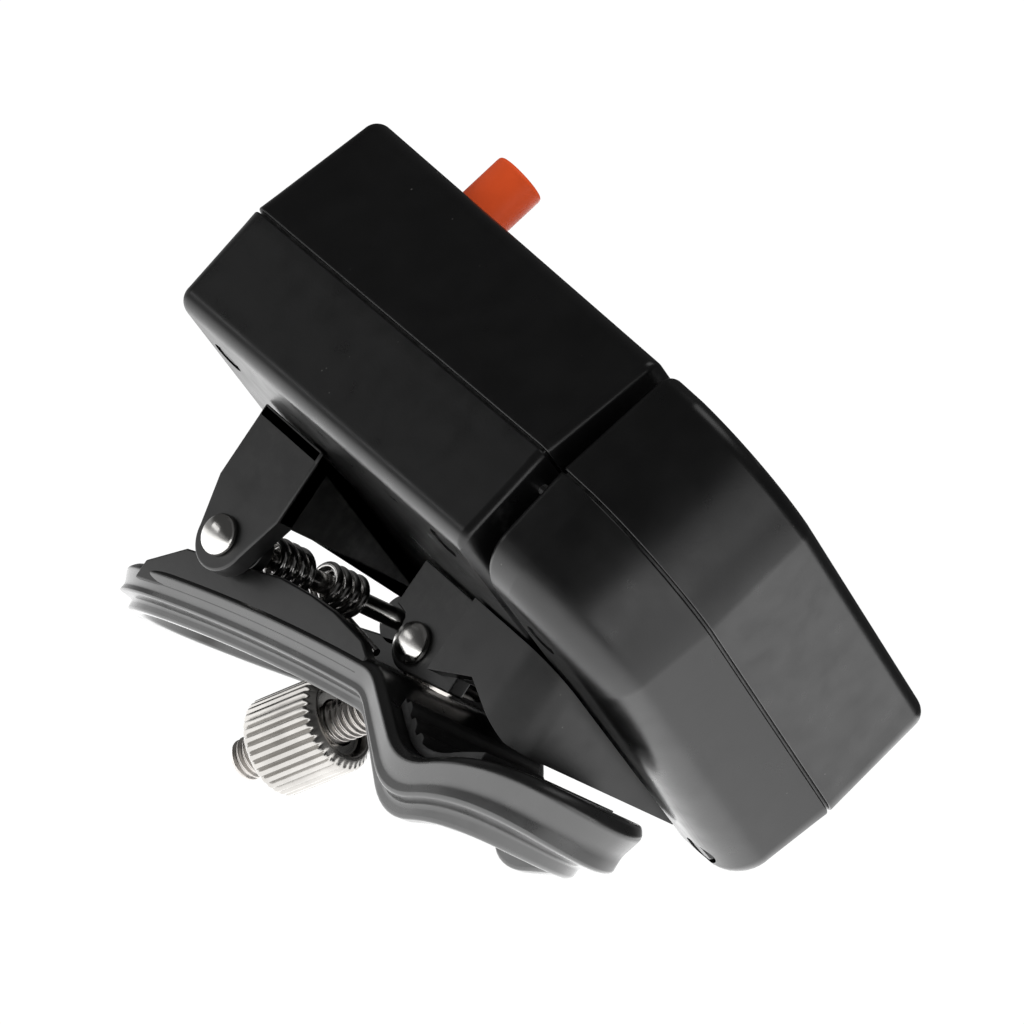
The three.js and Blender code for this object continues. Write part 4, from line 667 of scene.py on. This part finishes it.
def slab(name, x0, x1, y0, y1, low):
    """A box whose top follows the underside of the case; low None keeps a base thickness below it."""
    verts = []
    for y in (y0, y1):
        high = floor_over(y)
        bottom = high - BASE_THICK if low is None else low
        verts += [(x0, y, bottom), (x1, y, bottom), (x1, y, high), (x0, y, high)]
    faces = [(0, 1, 2, 3), (4, 5, 6, 7), (0, 1, 5, 4), (1, 2, 6, 5), (2, 3, 7, 6), (3, 0, 4, 7)]
    return bevel(mesh_object(name, verts, faces), 0.25)


pieces += [
    block_walls(),
    block_roof(),
    slab("island_roof", left, right, -LUG, LUG, None),
    slab("web", right - WEB_THICK, right, -LUG + WEB_INSET, LUG - WEB_INSET, shoulder),
    slab("link", right - WEB_THICK, LINK_RIGHT, LINK_NEAR, LINK_FAR, None),
]
bracket = join("clamp_bracket_body", *pieces)
smooth(bracket)
finish_piece(bracket, "housing", "clamp_plastic", clamp_black, "clamp_bracket")


# Pins with a domed near head
def pin(name, half, place, node_name):
    head, dome, radius, chamfer, rim, edge, steps = 2.3, 1.5, 1.15, 0.3, 0.3, 0.12, 16
    line = [(0, half), (radius - chamfer, half), (radius, half - chamfer), (radius, -half),
            (head - edge, -half), (head, -half - edge), (head, -half - rim)]
    line += [(head * math.cos(a), -half - rim - (dome - rim) * math.sin(a))
             for a in (math.pi / 2 * k / steps for k in range(1, steps))]
    line.append((0, -half - dome))
    matrix = Matrix.Translation((place[0], 0, place[1])) @ Matrix.Rotation(-math.pi / 2, 4, "X")
    finish_piece(smooth(turned(name, line, 64, matrix)), "housing", "steel", pin_steel, node_name)


pin("jaw_pin_steel", LUG + 0.1, JAW_PIN, "jaw_pin")
pin("bolt_pin_steel", BOLT_LUG + 0.1, BOLT_PIN, "bolt_pin")

# Lower jaw
JAW_HALF, JAW_FAR = 14.0, 10.5
JAW_LEFT, JAW_RIGHT = (-55.8, -11.9), (18.8, 2.1)
CREST, VALLEY = (-9.4, -0.1), (0.9, -5.6)
CREST_HALF, VALLEY_HALF = 1.4, 3.4
LEFT_BULGE, RIGHT_BULGE = 1.1, 1.9
LEFT_MID, RIGHT_MID = JAW_LEFT[0] + JAW_HALF, JAW_RIGHT[0] - JAW_HALF


def bulged(x, a, b, bulge):
    """Height on the line from a to b, raised by a bulge in its middle."""
    t = (x - a[0]) / (b[0] - a[0])
    return a[1] + (b[1] - a[1]) * t + bulge * 4 * t * (1 - t)


def sharp_top(x):
    """Top of the jaw with sharp bends at the crest and in the valley."""
    if x < CREST[0]:
        return bulged(x, JAW_LEFT, CREST, LEFT_BULGE)
    if x < VALLEY[0]:
        return bulged(x, CREST, VALLEY, 0)
    return bulged(x, VALLEY, JAW_RIGHT, RIGHT_BULGE)


def jaw_top(x):
    """Top of the jaw with both bends rounded."""
    for middle, half in ((CREST[0], CREST_HALF), (VALLEY[0], VALLEY_HALF)):
        t = (x - middle + half) / (2 * half)
        if 0 < t < 1:
            return (sharp_top(middle - half) * (1 - t) ** 2 + sharp_top(middle) * 2 * t * (1 - t)
                    + sharp_top(middle + half) * t ** 2)
    return sharp_top(x)


def past_crest(x, end):
    """How far x is on the way from the crest to an end, from 0 to 1."""
    return min(max((x - CREST[0]) / (end - CREST[0]), 0), 1)


def far_share(x):
    """Share of the width that the far side keeps, which narrows from the crest to the valley."""
    t = past_crest(x, VALLEY[0])
    return 1 - (1 - JAW_FAR / JAW_HALF) * t * t * (3 - 2 * t)


JAW_PLACES = sorted({round(x, 3) for x in [
    *np.linspace(LEFT_MID, CREST[0] - CREST_HALF - 0.1, 26),
    *np.linspace(CREST[0] - CREST_HALF, CREST[0] + CREST_HALF, 9),
    *np.linspace(CREST[0] + CREST_HALF + 1, VALLEY[0] - VALLEY_HALF, 6),
    *np.linspace(VALLEY[0] - VALLEY_HALF + 0.4, RIGHT_MID, 10),
]})


def jaw_ring(inset, depth, more, tuck):
    """A ring round the jaw, inset and sunk; more sinks its right end further and tuck draws that end in."""
    radius = JAW_HALF - inset
    steps = 20

    def end(middle, start):
        angles = [start + math.pi / 2 * (i + 1) / steps for i in range(steps - 1)]
        return [(middle + radius * math.cos(a), radius * math.sin(a)) for a in angles]

    near = end(LEFT_MID, math.pi) + [(x, -radius) for x in JAW_PLACES] + end(RIGHT_MID, -math.pi / 2)
    far = [(x, -y * far_share(x)) for x, y in near][::-1]
    ring = [(LEFT_MID - radius, 0)] + near + [(RIGHT_MID + radius, 0)] + far
    out = []
    for x, y in ring:
        x -= tuck * max(x - VALLEY[0], 0) / (JAW_RIGHT[0] - VALLEY[0])
        out.append((x, y, jaw_top(x) - depth - more * past_crest(x, JAW_RIGHT[0])))
    return out


# Rings from the top face over the undercut side to the rim and the hollow below
jaw_levels = rounded([
    (2.6, 0.0, 0.0, 0.0), (0.8, 0.0, 0.0, 0.0), (0.0, 0.8, 0.3, 0.0), (0.75, 2.6, 1.3, 0.0),
    (0.6, 3.5, 2.7, 0.0), (2.4, 4.0, 3.0, 2.2), (2.4, 5.2, 4.0, 3.0), (4.2, 5.2, 4.0, 3.0),
    (4.2, 2.1, 0.0, 3.0), (5.0, 2.1, 0.0, 3.0),
], 0.45, 5)
BOLT_SLOT_LEFT, BOLT_SLOT_RIGHT, BOLT_SLOT_HALF = -23.4, -10.4, 2.9
jaw_body = mesh_object("jaw_body", *loft([jaw_ring(*level) for level in jaw_levels], strips=True))
bolt_slot = cuboid("slot", (BOLT_SLOT_LEFT, BOLT_SLOT_RIGHT), (-BOLT_SLOT_HALF, BOLT_SLOT_HALF), (-40, 10))
boolean(jaw_body, bolt_slot, "DIFFERENCE")
smooth(jaw_body, 40)

# Walls on the jaw, whose ears turn on the jaw pin
EAR_OUTER, EAR_INNER, EAR_RADIUS, INTO_JAW = 13.6, 12.0, 2.9, 2.0
wall_points = [
    (-11.2, -8.2), (-7, -4.3), (2.5, -1.3), (7, 0.2), (12.2, 1), (16.3, 1.3), (21.8, 1), (23.7, 0.1),
]
crown = [(JAW_PIN[0] + x, JAW_PIN[1] + z) for x, z in wall_points]
foot = [x for x in JAW_PLACES if crown[0][0] < x < crown[-1][0]][::-1]
wall_line = crown + [(x, jaw_top(x) - INTO_JAW) for x in (crown[-1][0], *foot, crown[0][0])]
ears = []
for y0, y1 in ((-EAR_OUTER, -EAR_INNER), (EAR_INNER, EAR_OUTER)):
    ears.append(bevel(extruded("ear_wall", wall_line, y0, y1), 0.25))
    ears.append(bevel(cylinder("ear", EAR_RADIUS, y0, y1, "Y", *JAW_PIN, 48), 0.2))
# The jaw's body takes the brighter copy of the clamp's plastic: painted sheen
finish_piece(jaw_body, "jaw", "clamp_plastic", jaw_black_painted_sheen, "lower_jaw")
finish_piece(join("lower_jaw_walls", *[smooth(e) for e in ears]), "jaw", "clamp_plastic", clamp_black)

# Ribbed pad in the V of the jaw
PAD_LEFT, PAD_RIGHT, PAD_THICK, PAD_LIFT = VALLEY[0] - 6.4, VALLEY[0] + 7.0, 1.1, 0.1
PAD_NEAR, PAD_FAR = -11.5, 9.5
RIB_COUNT, RIB_PITCH, RIB_START, RIB_HALF, RIB_HIGH = 3, 1.8, 1.2, 0.62, 0.62
ribs = [PAD_LEFT + RIB_START + RIB_PITCH * i for i in range(RIB_COUNT)]


def pad_rise(x):
    """Thickness of the pad, with a rounded bar over each rib's place."""
    rise = PAD_THICK
    for rib in ribs:
        t = abs(x - rib) / RIB_HALF
        if t < 1:
            rise += RIB_HIGH * (1 - t ** 4)
    return rise


pad_xs = np.linspace(PAD_LEFT, PAD_RIGHT, 110)
pad_line = [(x, jaw_top(x) + PAD_LIFT) for x in pad_xs]
pad_line += [(x, jaw_top(x) + pad_rise(x)) for x in pad_xs[::-1]]
pad = smooth(bevel(extruded("lower_pad_rubber", pad_line, PAD_NEAR, PAD_FAR), 0.2, 3, 50), 50)
finish_piece(pad, "jaw", "rubber", pad_rubber, "lower_pad")

# Upper pad: fills the hollow of the block above the upper V
UPPER_PAD_FAR, PLAN_END, PAD_EDGE, PLATE_THICK = 2.0, 8.5, 2.4, 1.5
pad_plan = [(x, min(y, UPPER_PAD_FAR)) for x, y in wall_plan(PAD_EDGE) if y < PLAN_END]
upper_pad = extruded("upper_pad_rubber", list(dict.fromkeys(pad_plan)), BLOCK_LOW, 15.0, "Z")
case_side = Matrix.Translation((0, 0, -REST - PLATE_THICK - REST - LOWER_DROP))
boolean(upper_pad, cuboid("above", (-20, 100), (-20, 100), (0, 60), HOUSING @ case_side), "DIFFERENCE")
v_half, v_deep = 14, -9
v_low = V_TOP - V_SLOPE * v_half
v_line = [(0, V_TOP), (-v_half, v_low), (-v_half, v_deep), (v_half, v_deep), (v_half, v_low)]
boolean(upper_pad, extruded("v", v_line, -40, 40), "DIFFERENCE")
HEAD_ROOM, HEAD_ROOM_DEEP, BRACKET_SCREW = 2.0, 3.4, (BLOCK - SLOT_PAST_ROD, 24.4)
head_low = -LOWER_DROP - HEAD_ROOM_DEEP
head_room = cylinder("head_room", HEAD_ROOM, head_low, -LOWER_DROP, "Z", *BRACKET_SCREW, 40, HOUSING)
boolean(upper_pad, head_room, "DIFFERENCE")
smooth(bevel(upper_pad, 0.15, 2, 40), 40)
finish_piece(upper_pad, "housing", "rubber", pad_rubber, "upper_pad")


# Double torsion spring
def swept(name, points, radius, sides=14):
    """A round wire along a path of points."""
    pts = [Vector(p) for p in points]
    rings, normal = [], None
    for i, p in enumerate(pts):
        along = (pts[min(i + 1, len(pts) - 1)] - pts[max(i - 1, 0)]).normalized()
        if normal is None:
            normal = along.cross(Vector((0, 1, 0)) if abs(along.y) < 0.9 else Vector((1, 0, 0))).normalized()
        normal = (normal - along * normal.dot(along)).normalized()
        side = along.cross(normal)
        angles = [2 * math.pi * k / sides for k in range(sides)]
        rings.append([tuple(p + normal * radius * math.cos(a) + side * radius * math.sin(a)) for a in angles])
    return mesh_object(name, *loft(rings))


COIL_RADIUS, COIL_PITCH, COIL_MIDDLE, COIL_GAP, WIRE_RADIUS = 2.15, 1.45, -2.9, 1.6, 0.475
INNER_LEG, OUTER_LEG, LEG_BEND, LEAST_BEND = 5.6, 7.2, 0.9, 0.35


def spring_half(side):
    """The path of one coil of the spring with its two legs, from the middle loop outwards."""
    start, turns = math.radians(-118), 4 + 23 / 360
    steps = 150

    def at(t):
        angle = start + 2 * math.pi * turns * t
        return Vector((JAW_PIN[0] + COIL_RADIUS * math.cos(angle),
                       COIL_MIDDLE + side * (COIL_GAP + COIL_PITCH * turns * t),
                       JAW_PIN[1] + COIL_RADIUS * math.sin(angle)))

    def tangent(angle):
        return Vector((-math.sin(angle), 0, math.cos(angle)))

    coil = [at(i / steps) for i in range(steps + 1)]
    inner = coil[0] - tangent(start) * INNER_LEG
    outer = coil[-1] + tangent(start + 2 * math.pi * turns) * OUTER_LEG
    return [inner, *coil, outer]


spring_path = spring_half(-1)[::-1] + spring_half(1)
spring_path = rounded(spring_path, LEG_BEND, share=0.48, least_bend=LEAST_BEND)
spring = smooth(swept("torsion_spring_wire", spring_path, WIRE_RADIUS), 60)
finish_piece(spring, "housing", "steel", spring_steel, "torsion_spring")

# Button spring: a coil round the button's post, under its flange
RETURN_RADIUS, RETURN_WIRE, RETURN_TURNS, FLOOR_HIGH, PRESS = 2.25, 0.25, 6, 1.0, 2.5
spring_low, spring_high = FLOOR_HIGH + REST + RETURN_WIRE, flange_low - REST - RETURN_WIRE
whole_turn = 2 * math.pi * RETURN_TURNS
coil = [(RETURN_RADIUS * math.cos(a), RETURN_RADIUS * math.sin(a),
         spring_low + (spring_high - spring_low) * a / whole_turn) for a in np.linspace(0, whole_turn, 217)]
coil_path = [tuple(button_place @ Vector(c)) for c in coil]
return_spring = smooth(swept("button_spring_wire", coil_path, RETURN_WIRE, 10), 60)
finish_piece(return_spring, "housing", "steel", spring_steel, "button_spring")
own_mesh(return_spring)

# Pinch spring: a bowed leaf by the nose wall
LEAF_NEAR, LEAF_FAR, LEAF_X, LEAF_THICK, LEAF_BOW = 31.0, 47.4, 64.2, 0.4, 1.0
LEAF_LOW, LEAF_HIGH = -1.2, 0.3
leaf_side = [(LEAF_X + LEAF_BOW * math.sin(math.pi * t), LEAF_NEAR + (LEAF_FAR - LEAF_NEAR) * t)
             for t in np.linspace(0, 1, 25)]
leaf_line = leaf_side + [(x + LEAF_THICK, y) for x, y in leaf_side[::-1]]
leaf = smooth(bevel(extruded("pinch_spring_leaf", leaf_line, LEAF_LOW, LEAF_HIGH, "Z", HOUSING), 0.06))
finish_piece(leaf, "housing", "steel", spring_steel, "pinch_spring")
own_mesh(leaf)

# Tyre of the measuring wheel, with a fine groove round its middle
TYRE_BORE, TYRE_LOW, TYRE_HIGH = 7.683, 0.4, 4.4
tyre_line = rounded([
    (TYRE_BORE, TYRE_LOW), (8.8, TYRE_LOW), (TYRE_RADIUS, 0.62), (TYRE_RADIUS, 2.25), (8.86, 2.4),
    (TYRE_RADIUS, 2.55), (TYRE_RADIUS, 4.18), (8.8, TYRE_HIGH), (TYRE_BORE, TYRE_HIGH),
], 0.12, 3)
tyre = smooth(turned("wheel_tyre_rubber", tyre_line, 128, HOUSING @ Matrix.Translation((*WHEEL, 0))))
finish_piece(tyre, "wheel", "rubber", pad_rubber, "wheel_tyre")

# Numbers printed round the drums: pen strokes in a box of height 1
STROKES = {
    0: [[(0, .25), (0, .75), (.2, 1), (.4, 1), (.6, .75), (.6, .25), (.4, 0), (.2, 0), (0, .25)]],
    1: [[(.12, .8), (.35, 1), (.35, 0)]],
    2: [[(0, .8), (.15, 1), (.45, 1), (.6, .8), (.6, .62), (0, 0), (.6, 0)]],
    3: [[(0, 1), (.6, 1), (.28, .6), (.5, .55), (.6, .35), (.6, .2), (.42, 0), (.15, 0), (0, .16)]],
    4: [[(.45, 0), (.45, 1), (0, .3), (.62, .3)]],
    5: [[(.58, 1), (.06, 1), (.02, .55), (.4, .62), (.6, .42), (.6, .2), (.4, 0), (.15, 0), (0, .14)]],
    6: [[(.5, 1), (.2, .85), (0, .5), (0, .22), (.18, 0), (.42, 0), (.6, .2), (.6, .38), (.42, .56),
         (.18, .56), (0, .38)]],
    7: [[(0, 1), (.6, 1), (.22, 0)]],
    8: [[(.3, .54), (.08, .7), (.08, .85), (.2, 1), (.4, 1), (.52, .85), (.52, .7), (.3, .54), (.02, .36),
         (.02, .16), (.18, 0), (.42, 0), (.58, .16), (.58, .36), (.3, .54)]],
    9: [[(.1, 0), (.4, .15), (.6, .5), (.6, .78), (.42, 1), (.18, 1), (0, .8), (0, .62), (.18, .44),
         (.42, .44), (.6, .62)]],
}
DIGIT_HEIGHT, DIGIT_WIDTH, STROKE = 3.0, 3.0, 0.26
DRUM_RADIUS, DRUM_HIGH, PRINT, SUNK = 7.6, 3.3, 0.03, 0.05
DRUMS = {"units": 13.0, "tens": 21.6, "hundreds": 30.2}


def stroke_ribbon(path):
    """Left and right edges of a pen stroke, mitred at its bends."""
    edges = []
    for i, point in enumerate(path):
        here = Vector(point)
        before, after = Vector(path[max(i - 1, 0)]), Vector(path[min(i + 1, len(path) - 1)])
        a = (here - before).normalized() if i else (after - here).normalized()
        b = (after - here).normalized() if i + 1 < len(path) else a
        along = (a + b).normalized() if (a + b).length > 1e-6 else a
        side = Vector((-along.y, along.x))
        width = STROKE / max(side.dot(Vector((-b.y, b.x))), 0.6)
        edges.append((here + side * width, here - side * width))
    return edges


def drum_digits(drum, middle):
    """The ten numbers round one drum, as thin raised strokes."""
    verts, faces = [], []
    for digit, strokes in STROKES.items():
        centre = math.pi / 2 - 2 * math.pi * digit / 10
        for stroke in strokes:
            path = [((x - 0.3) * DIGIT_WIDTH, (y - 0.5) * DIGIT_HEIGHT) for x, y in stroke]
            start = len(verts)
            for left_edge, right_edge in stroke_ribbon(path):
                for radius in (DRUM_RADIUS - SUNK, DRUM_RADIUS + PRINT):
                    for x, y in (left_edge, right_edge):
                        angle = centre + y / DRUM_RADIUS
                        verts.append((middle + x, WINDOW[1] + radius * math.cos(angle),
                                      DRUM_HIGH + radius * math.sin(angle)))
            for i in range(len(path) - 1):
                a, b = start + 4 * i, start + 4 * i + 4
                faces += [(a, a + 1, b + 1, b), (a + 2, b + 2, b + 3, a + 3), (a, b, b + 2, a + 2),
                          (a + 1, a + 3, b + 3, b + 1)]
            end = start + 4 * (len(path) - 1)
            faces += [(start, start + 2, start + 3, start + 1), (end, end + 1, end + 3, end + 2)]
    digits = smooth(mesh_object(drum + "_numbers", verts, faces, HOUSING), 30)
    finish_piece(digits, drum, "white_plastic", digit_black)


for drum, middle in DRUMS.items():
    drum_digits(drum, middle)

# Swing bolt with its thread, washer and knurled nut
LEAN = math.radians(39.7)
AXIS = Matrix.Translation((BOLT_PIN[0], 0, BOLT_PIN[1])) @ Matrix.Rotation(LEAN, 4, "Y")
EYE_RADIUS, EYE_NEAR, EYE_FAR, NECK_RADIUS, NECK_LOW, NECK_HIGH = 2.8, -6.1, 3, 2.0, -5, -1.4
eye_ring = smooth(bevel(cylinder("bolt_eye", EYE_RADIUS, EYE_NEAR, EYE_FAR, "Y", 0, 0, 48, AXIS), 0.25))


def threaded(name, radius, depth, pitch, low, high, parts=56):
    """A threaded shank about Z with a chamfered lower end and a closed top."""
    flat, point = 0.12, 0.72
    rings = []
    steps = int((high - low) / pitch * 12)
    for i in range(steps + 1):
        z = low + (high - low) * i / steps
        chamfer = min(1.0, point + (1 - point) * (z - low) / pitch)
        ring = []
        for k in range(parts):
            phase = ((z / pitch) - k / parts) % 1
            cut = abs(phase - 0.5) * 2
            groove = depth * max(0.0, min(1.0, (cut - flat) / (1 - 2 * flat)))
            r = min(radius - groove, radius * chamfer)
            a = 2 * math.pi * k / parts
            ring.append((r * math.cos(a), r * math.sin(a), z))
        rings.append(ring)
    return mesh_object(name, *loft(rings), AXIS)


THREAD_RADIUS, THREAD_DEPTH, THREAD_PITCH, BOLT_END, THREAD_TOP = 2.35, 0.38, 0.8, -30.9, -4.0
shank = threaded("shank", THREAD_RADIUS, THREAD_DEPTH, THREAD_PITCH, BOLT_END, THREAD_TOP)
smooth(shank, 70, False)
neck = smooth(cylinder("neck", NECK_RADIUS, NECK_LOW, NECK_HIGH, "Z", 0, 0, 40, AXIS))
bolt = join("swing_bolt_steel", eye_ring, shank, neck)
finish_piece(bolt, "bolt", "steel", bolt_steel, "swing_bolt")

bore, rim, low, high = 2.6, 3.6, -18.4, -17.6
washer_line = rounded([(bore, low), (rim, low), (rim, high), (bore, high)], 0.15, 3)
washer = smooth(turned("washer_steel", washer_line, 64, AXIS))
finish_piece(washer, "washer", "steel", pin_steel, "nut_washer")


def knurled_nut():
    """A nut with straight rounded ribs, bevelled ends, a bore and a recess at its inner end."""
    ribs, per, rib_high = 34, 10, 0.44
    count = ribs * per
    inner, outer, core, bore = -16.8, -26.8, 4.98, 2.62
    run_out = 1.05

    def ring(z, share, base):
        out = []
        for i in range(count):
            t = (i % per) / per
            crest = max(0.0, 1 - abs(t - 0.5) * 2 * 1.15)
            r = base + rib_high * math.sin(min(1, crest * 1.5) * math.pi / 2) * share
            a = 2 * math.pi * i / count
            out.append((r * math.cos(a), r * math.sin(a), z))
        return out

    # Each row: distance from the end, share of the rib's height, radius of the core
    outer_end = [(0, 0, bore), (0, 0, 4.2), (0.05, 0, 4.36), (0.45, 0, 4.82), (0.6, 0.35, core - 0.03),
                 (0.8, 0.8, core), (run_out, 1, core)]
    inner_end = [(0.8, 0.8, core), (0.6, 0.35, core - 0.03), (0.45, 0, 4.86), (0.05, 0, 4.5), (0, 0, 4.4),
                 (0, 0, 4.08), (0.1, 0, 4.0), (1.7, 0, 3.98), (1.7, 0, bore)]
    ribbed = inner - outer - 2 * run_out
    rings = [ring(outer + z, share, base) for z, share, base in outer_end]
    rings += [ring(outer + run_out + ribbed * k / 8, 1, core) for k in range(1, 9)]
    rings += [ring(inner - z, share, base) for z, share, base in inner_end]
    return mesh_object("knurled_nut", *loft(rings, hoop=True), AXIS)


finish_piece(smooth(knurled_nut(), 55), "nut", "steel", nut_nickel, "thumb_nut")

# Floor, backdrop and light
low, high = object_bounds()
floor_z, floor_half = low.z - 0.0002, 6
corners = [(x * floor_half, y * floor_half, floor_z) for x, y in ((-1, -1), (1, -1), (1, 1), (-1, 1))]
floor = bpy.data.objects.new("floor", bpy.data.meshes.new("floor"))
floor.data.from_pydata(corners, [], [(0, 1, 2, 3)])
scene.collection.objects.link(floor)
paper = bpy.data.materials.new("floor_paper")
paper.use_nodes = True
tree = paper.node_tree
tree.nodes.clear()
out = node(tree, "OutputMaterial")
diffuse = node(tree, "BsdfDiffuse", Color=(0.86, 0.86, 0.86, 1))
glow = node(tree, "Emission", Color=(1, 1, 1, 1), Strength=1.0)
ray = node(tree, "LightPath").outputs
either = linked(tree, "Math", ray["Is Camera Ray"], ray["Is Glossy Ray"], operation="MAXIMUM")
shown = linked(tree, "Math", either.outputs[0], operation="MULTIPLY")
shown.inputs[1].default_value = 0.98
place = node(tree, "NewGeometry").outputs["Position"]


def painted_glow_along(measure, near, far, near_glow, far_glow):
    """Glow of the paper in reflections, a painted reflection, which changes from one value to another between
    two distances.
    """
    change = node(tree, "MapRange")
    for key, value in (("From Min", near), ("From Max", far), ("To Min", near_glow), ("To Max", far_glow)):
        change.inputs[key].default_value = value
    tree.links.new(place, measure.inputs[0])
    tree.links.new(measure.outputs["Value"], change.inputs["Value"])
    return change


# Painted reflection: for reflections only, the paper glows brightly under the clamp and fades away from it,
# so the clamp's undersides mirror a bright table that lights nothing
painted_glow_under_clamp = painted_glow_along(node(tree, "VectorMath", operation="LENGTH"), 0.07, 0.17, 2.6, 0.35)
# Painted highlight: far off on the right, where the nose turns to, the paper glows again for reflections only
away = node(tree, "VectorMath", operation="DOT_PRODUCT")
away.inputs[1].default_value = (0.5, 0.86, 0.0)
far_glow = painted_glow_along(away, 0.08, 0.24, 0.0, 1.7)
total = linked(tree, "Math", painted_glow_under_clamp.outputs[0], far_glow.outputs[0], operation="ADD")
# Camera rays see an even white of 1.05; reflections see the painted glow
bright = linked(tree, "Mix", ray["Is Camera Ray"], None, total.outputs[0], data_type="FLOAT")
bright.inputs[3].default_value = 1.05
tree.links.new(bright.outputs[0], glow.inputs["Strength"])
mix = linked(tree, "MixShader", shown.outputs[0], diffuse.outputs[0], glow.outputs[0])
tree.links.new(mix.outputs[0], out.inputs["Surface"])
floor.data.materials.append(paper)

world = bpy.data.worlds.new("studio")
scene.world = world
world.use_nodes = True
tree = world.node_tree
tree.nodes.clear()
out = node(tree, "OutputWorld")
sky = node(tree, "Background", Color=(1, 1, 1, 1))
ray = node(tree, "LightPath").outputs
# Painted reflection: reflections see a darker sky than the light the world gives, 0.3 low down falling to
# 0.06 higher up; other rays see 0.55 and the camera sees white
split = linked(tree, "SeparateXYZ", node(tree, "TexCoord").outputs["Generated"])
painted_reflection_sky = ramp(tree, split.outputs["Z"], [(0.0, 0.3), (0.12, 0.06)])
glossy = linked(tree, "Mix", ray["Is Glossy Ray"], None, None, painted_reflection_sky, data_type="FLOAT")
glossy.inputs[2].default_value = 0.55
seen = linked(tree, "Math", ray["Is Camera Ray"], ray["Is Transmission Ray"], operation="MAXIMUM")
level = linked(tree, "Mix", seen.outputs[0], None, glossy.outputs[0], data_type="FLOAT")
level.inputs[3].default_value = 1.0
tree.links.new(level.outputs[0], sky.inputs["Strength"])
tree.links.new(sky.outputs[0], out.inputs["Surface"])


def softbox(name, place, target, size, radiance):
    """A rectangular lamp whose face has a given brightness."""
    data = bpy.data.lights.new(name, "AREA")
    data.shape = "RECTANGLE"
    data.size, data.size_y = size
    data.energy = radiance * size[0] * size[1] * math.pi
    obj = bpy.data.objects.new(name, data)
    scene.collection.objects.link(obj)
    obj.location = place
    obj.rotation_mode = "QUATERNION"
    obj.rotation_quaternion = (Vector(target) - Vector(place)).to_track_quat("-Z", "Y")


middle = (low + high) / 2
softbox("key_right", (0.75, 0.02, 0.0), middle, (0.5, 0.4), 1.6)
softbox("fill_left", (-0.55, -0.62, 0.0), middle, (0.5, 0.22), 1.3)
softbox("top", (0.1, -0.1, 0.9), middle, (0.5, 0.5), 1.6)
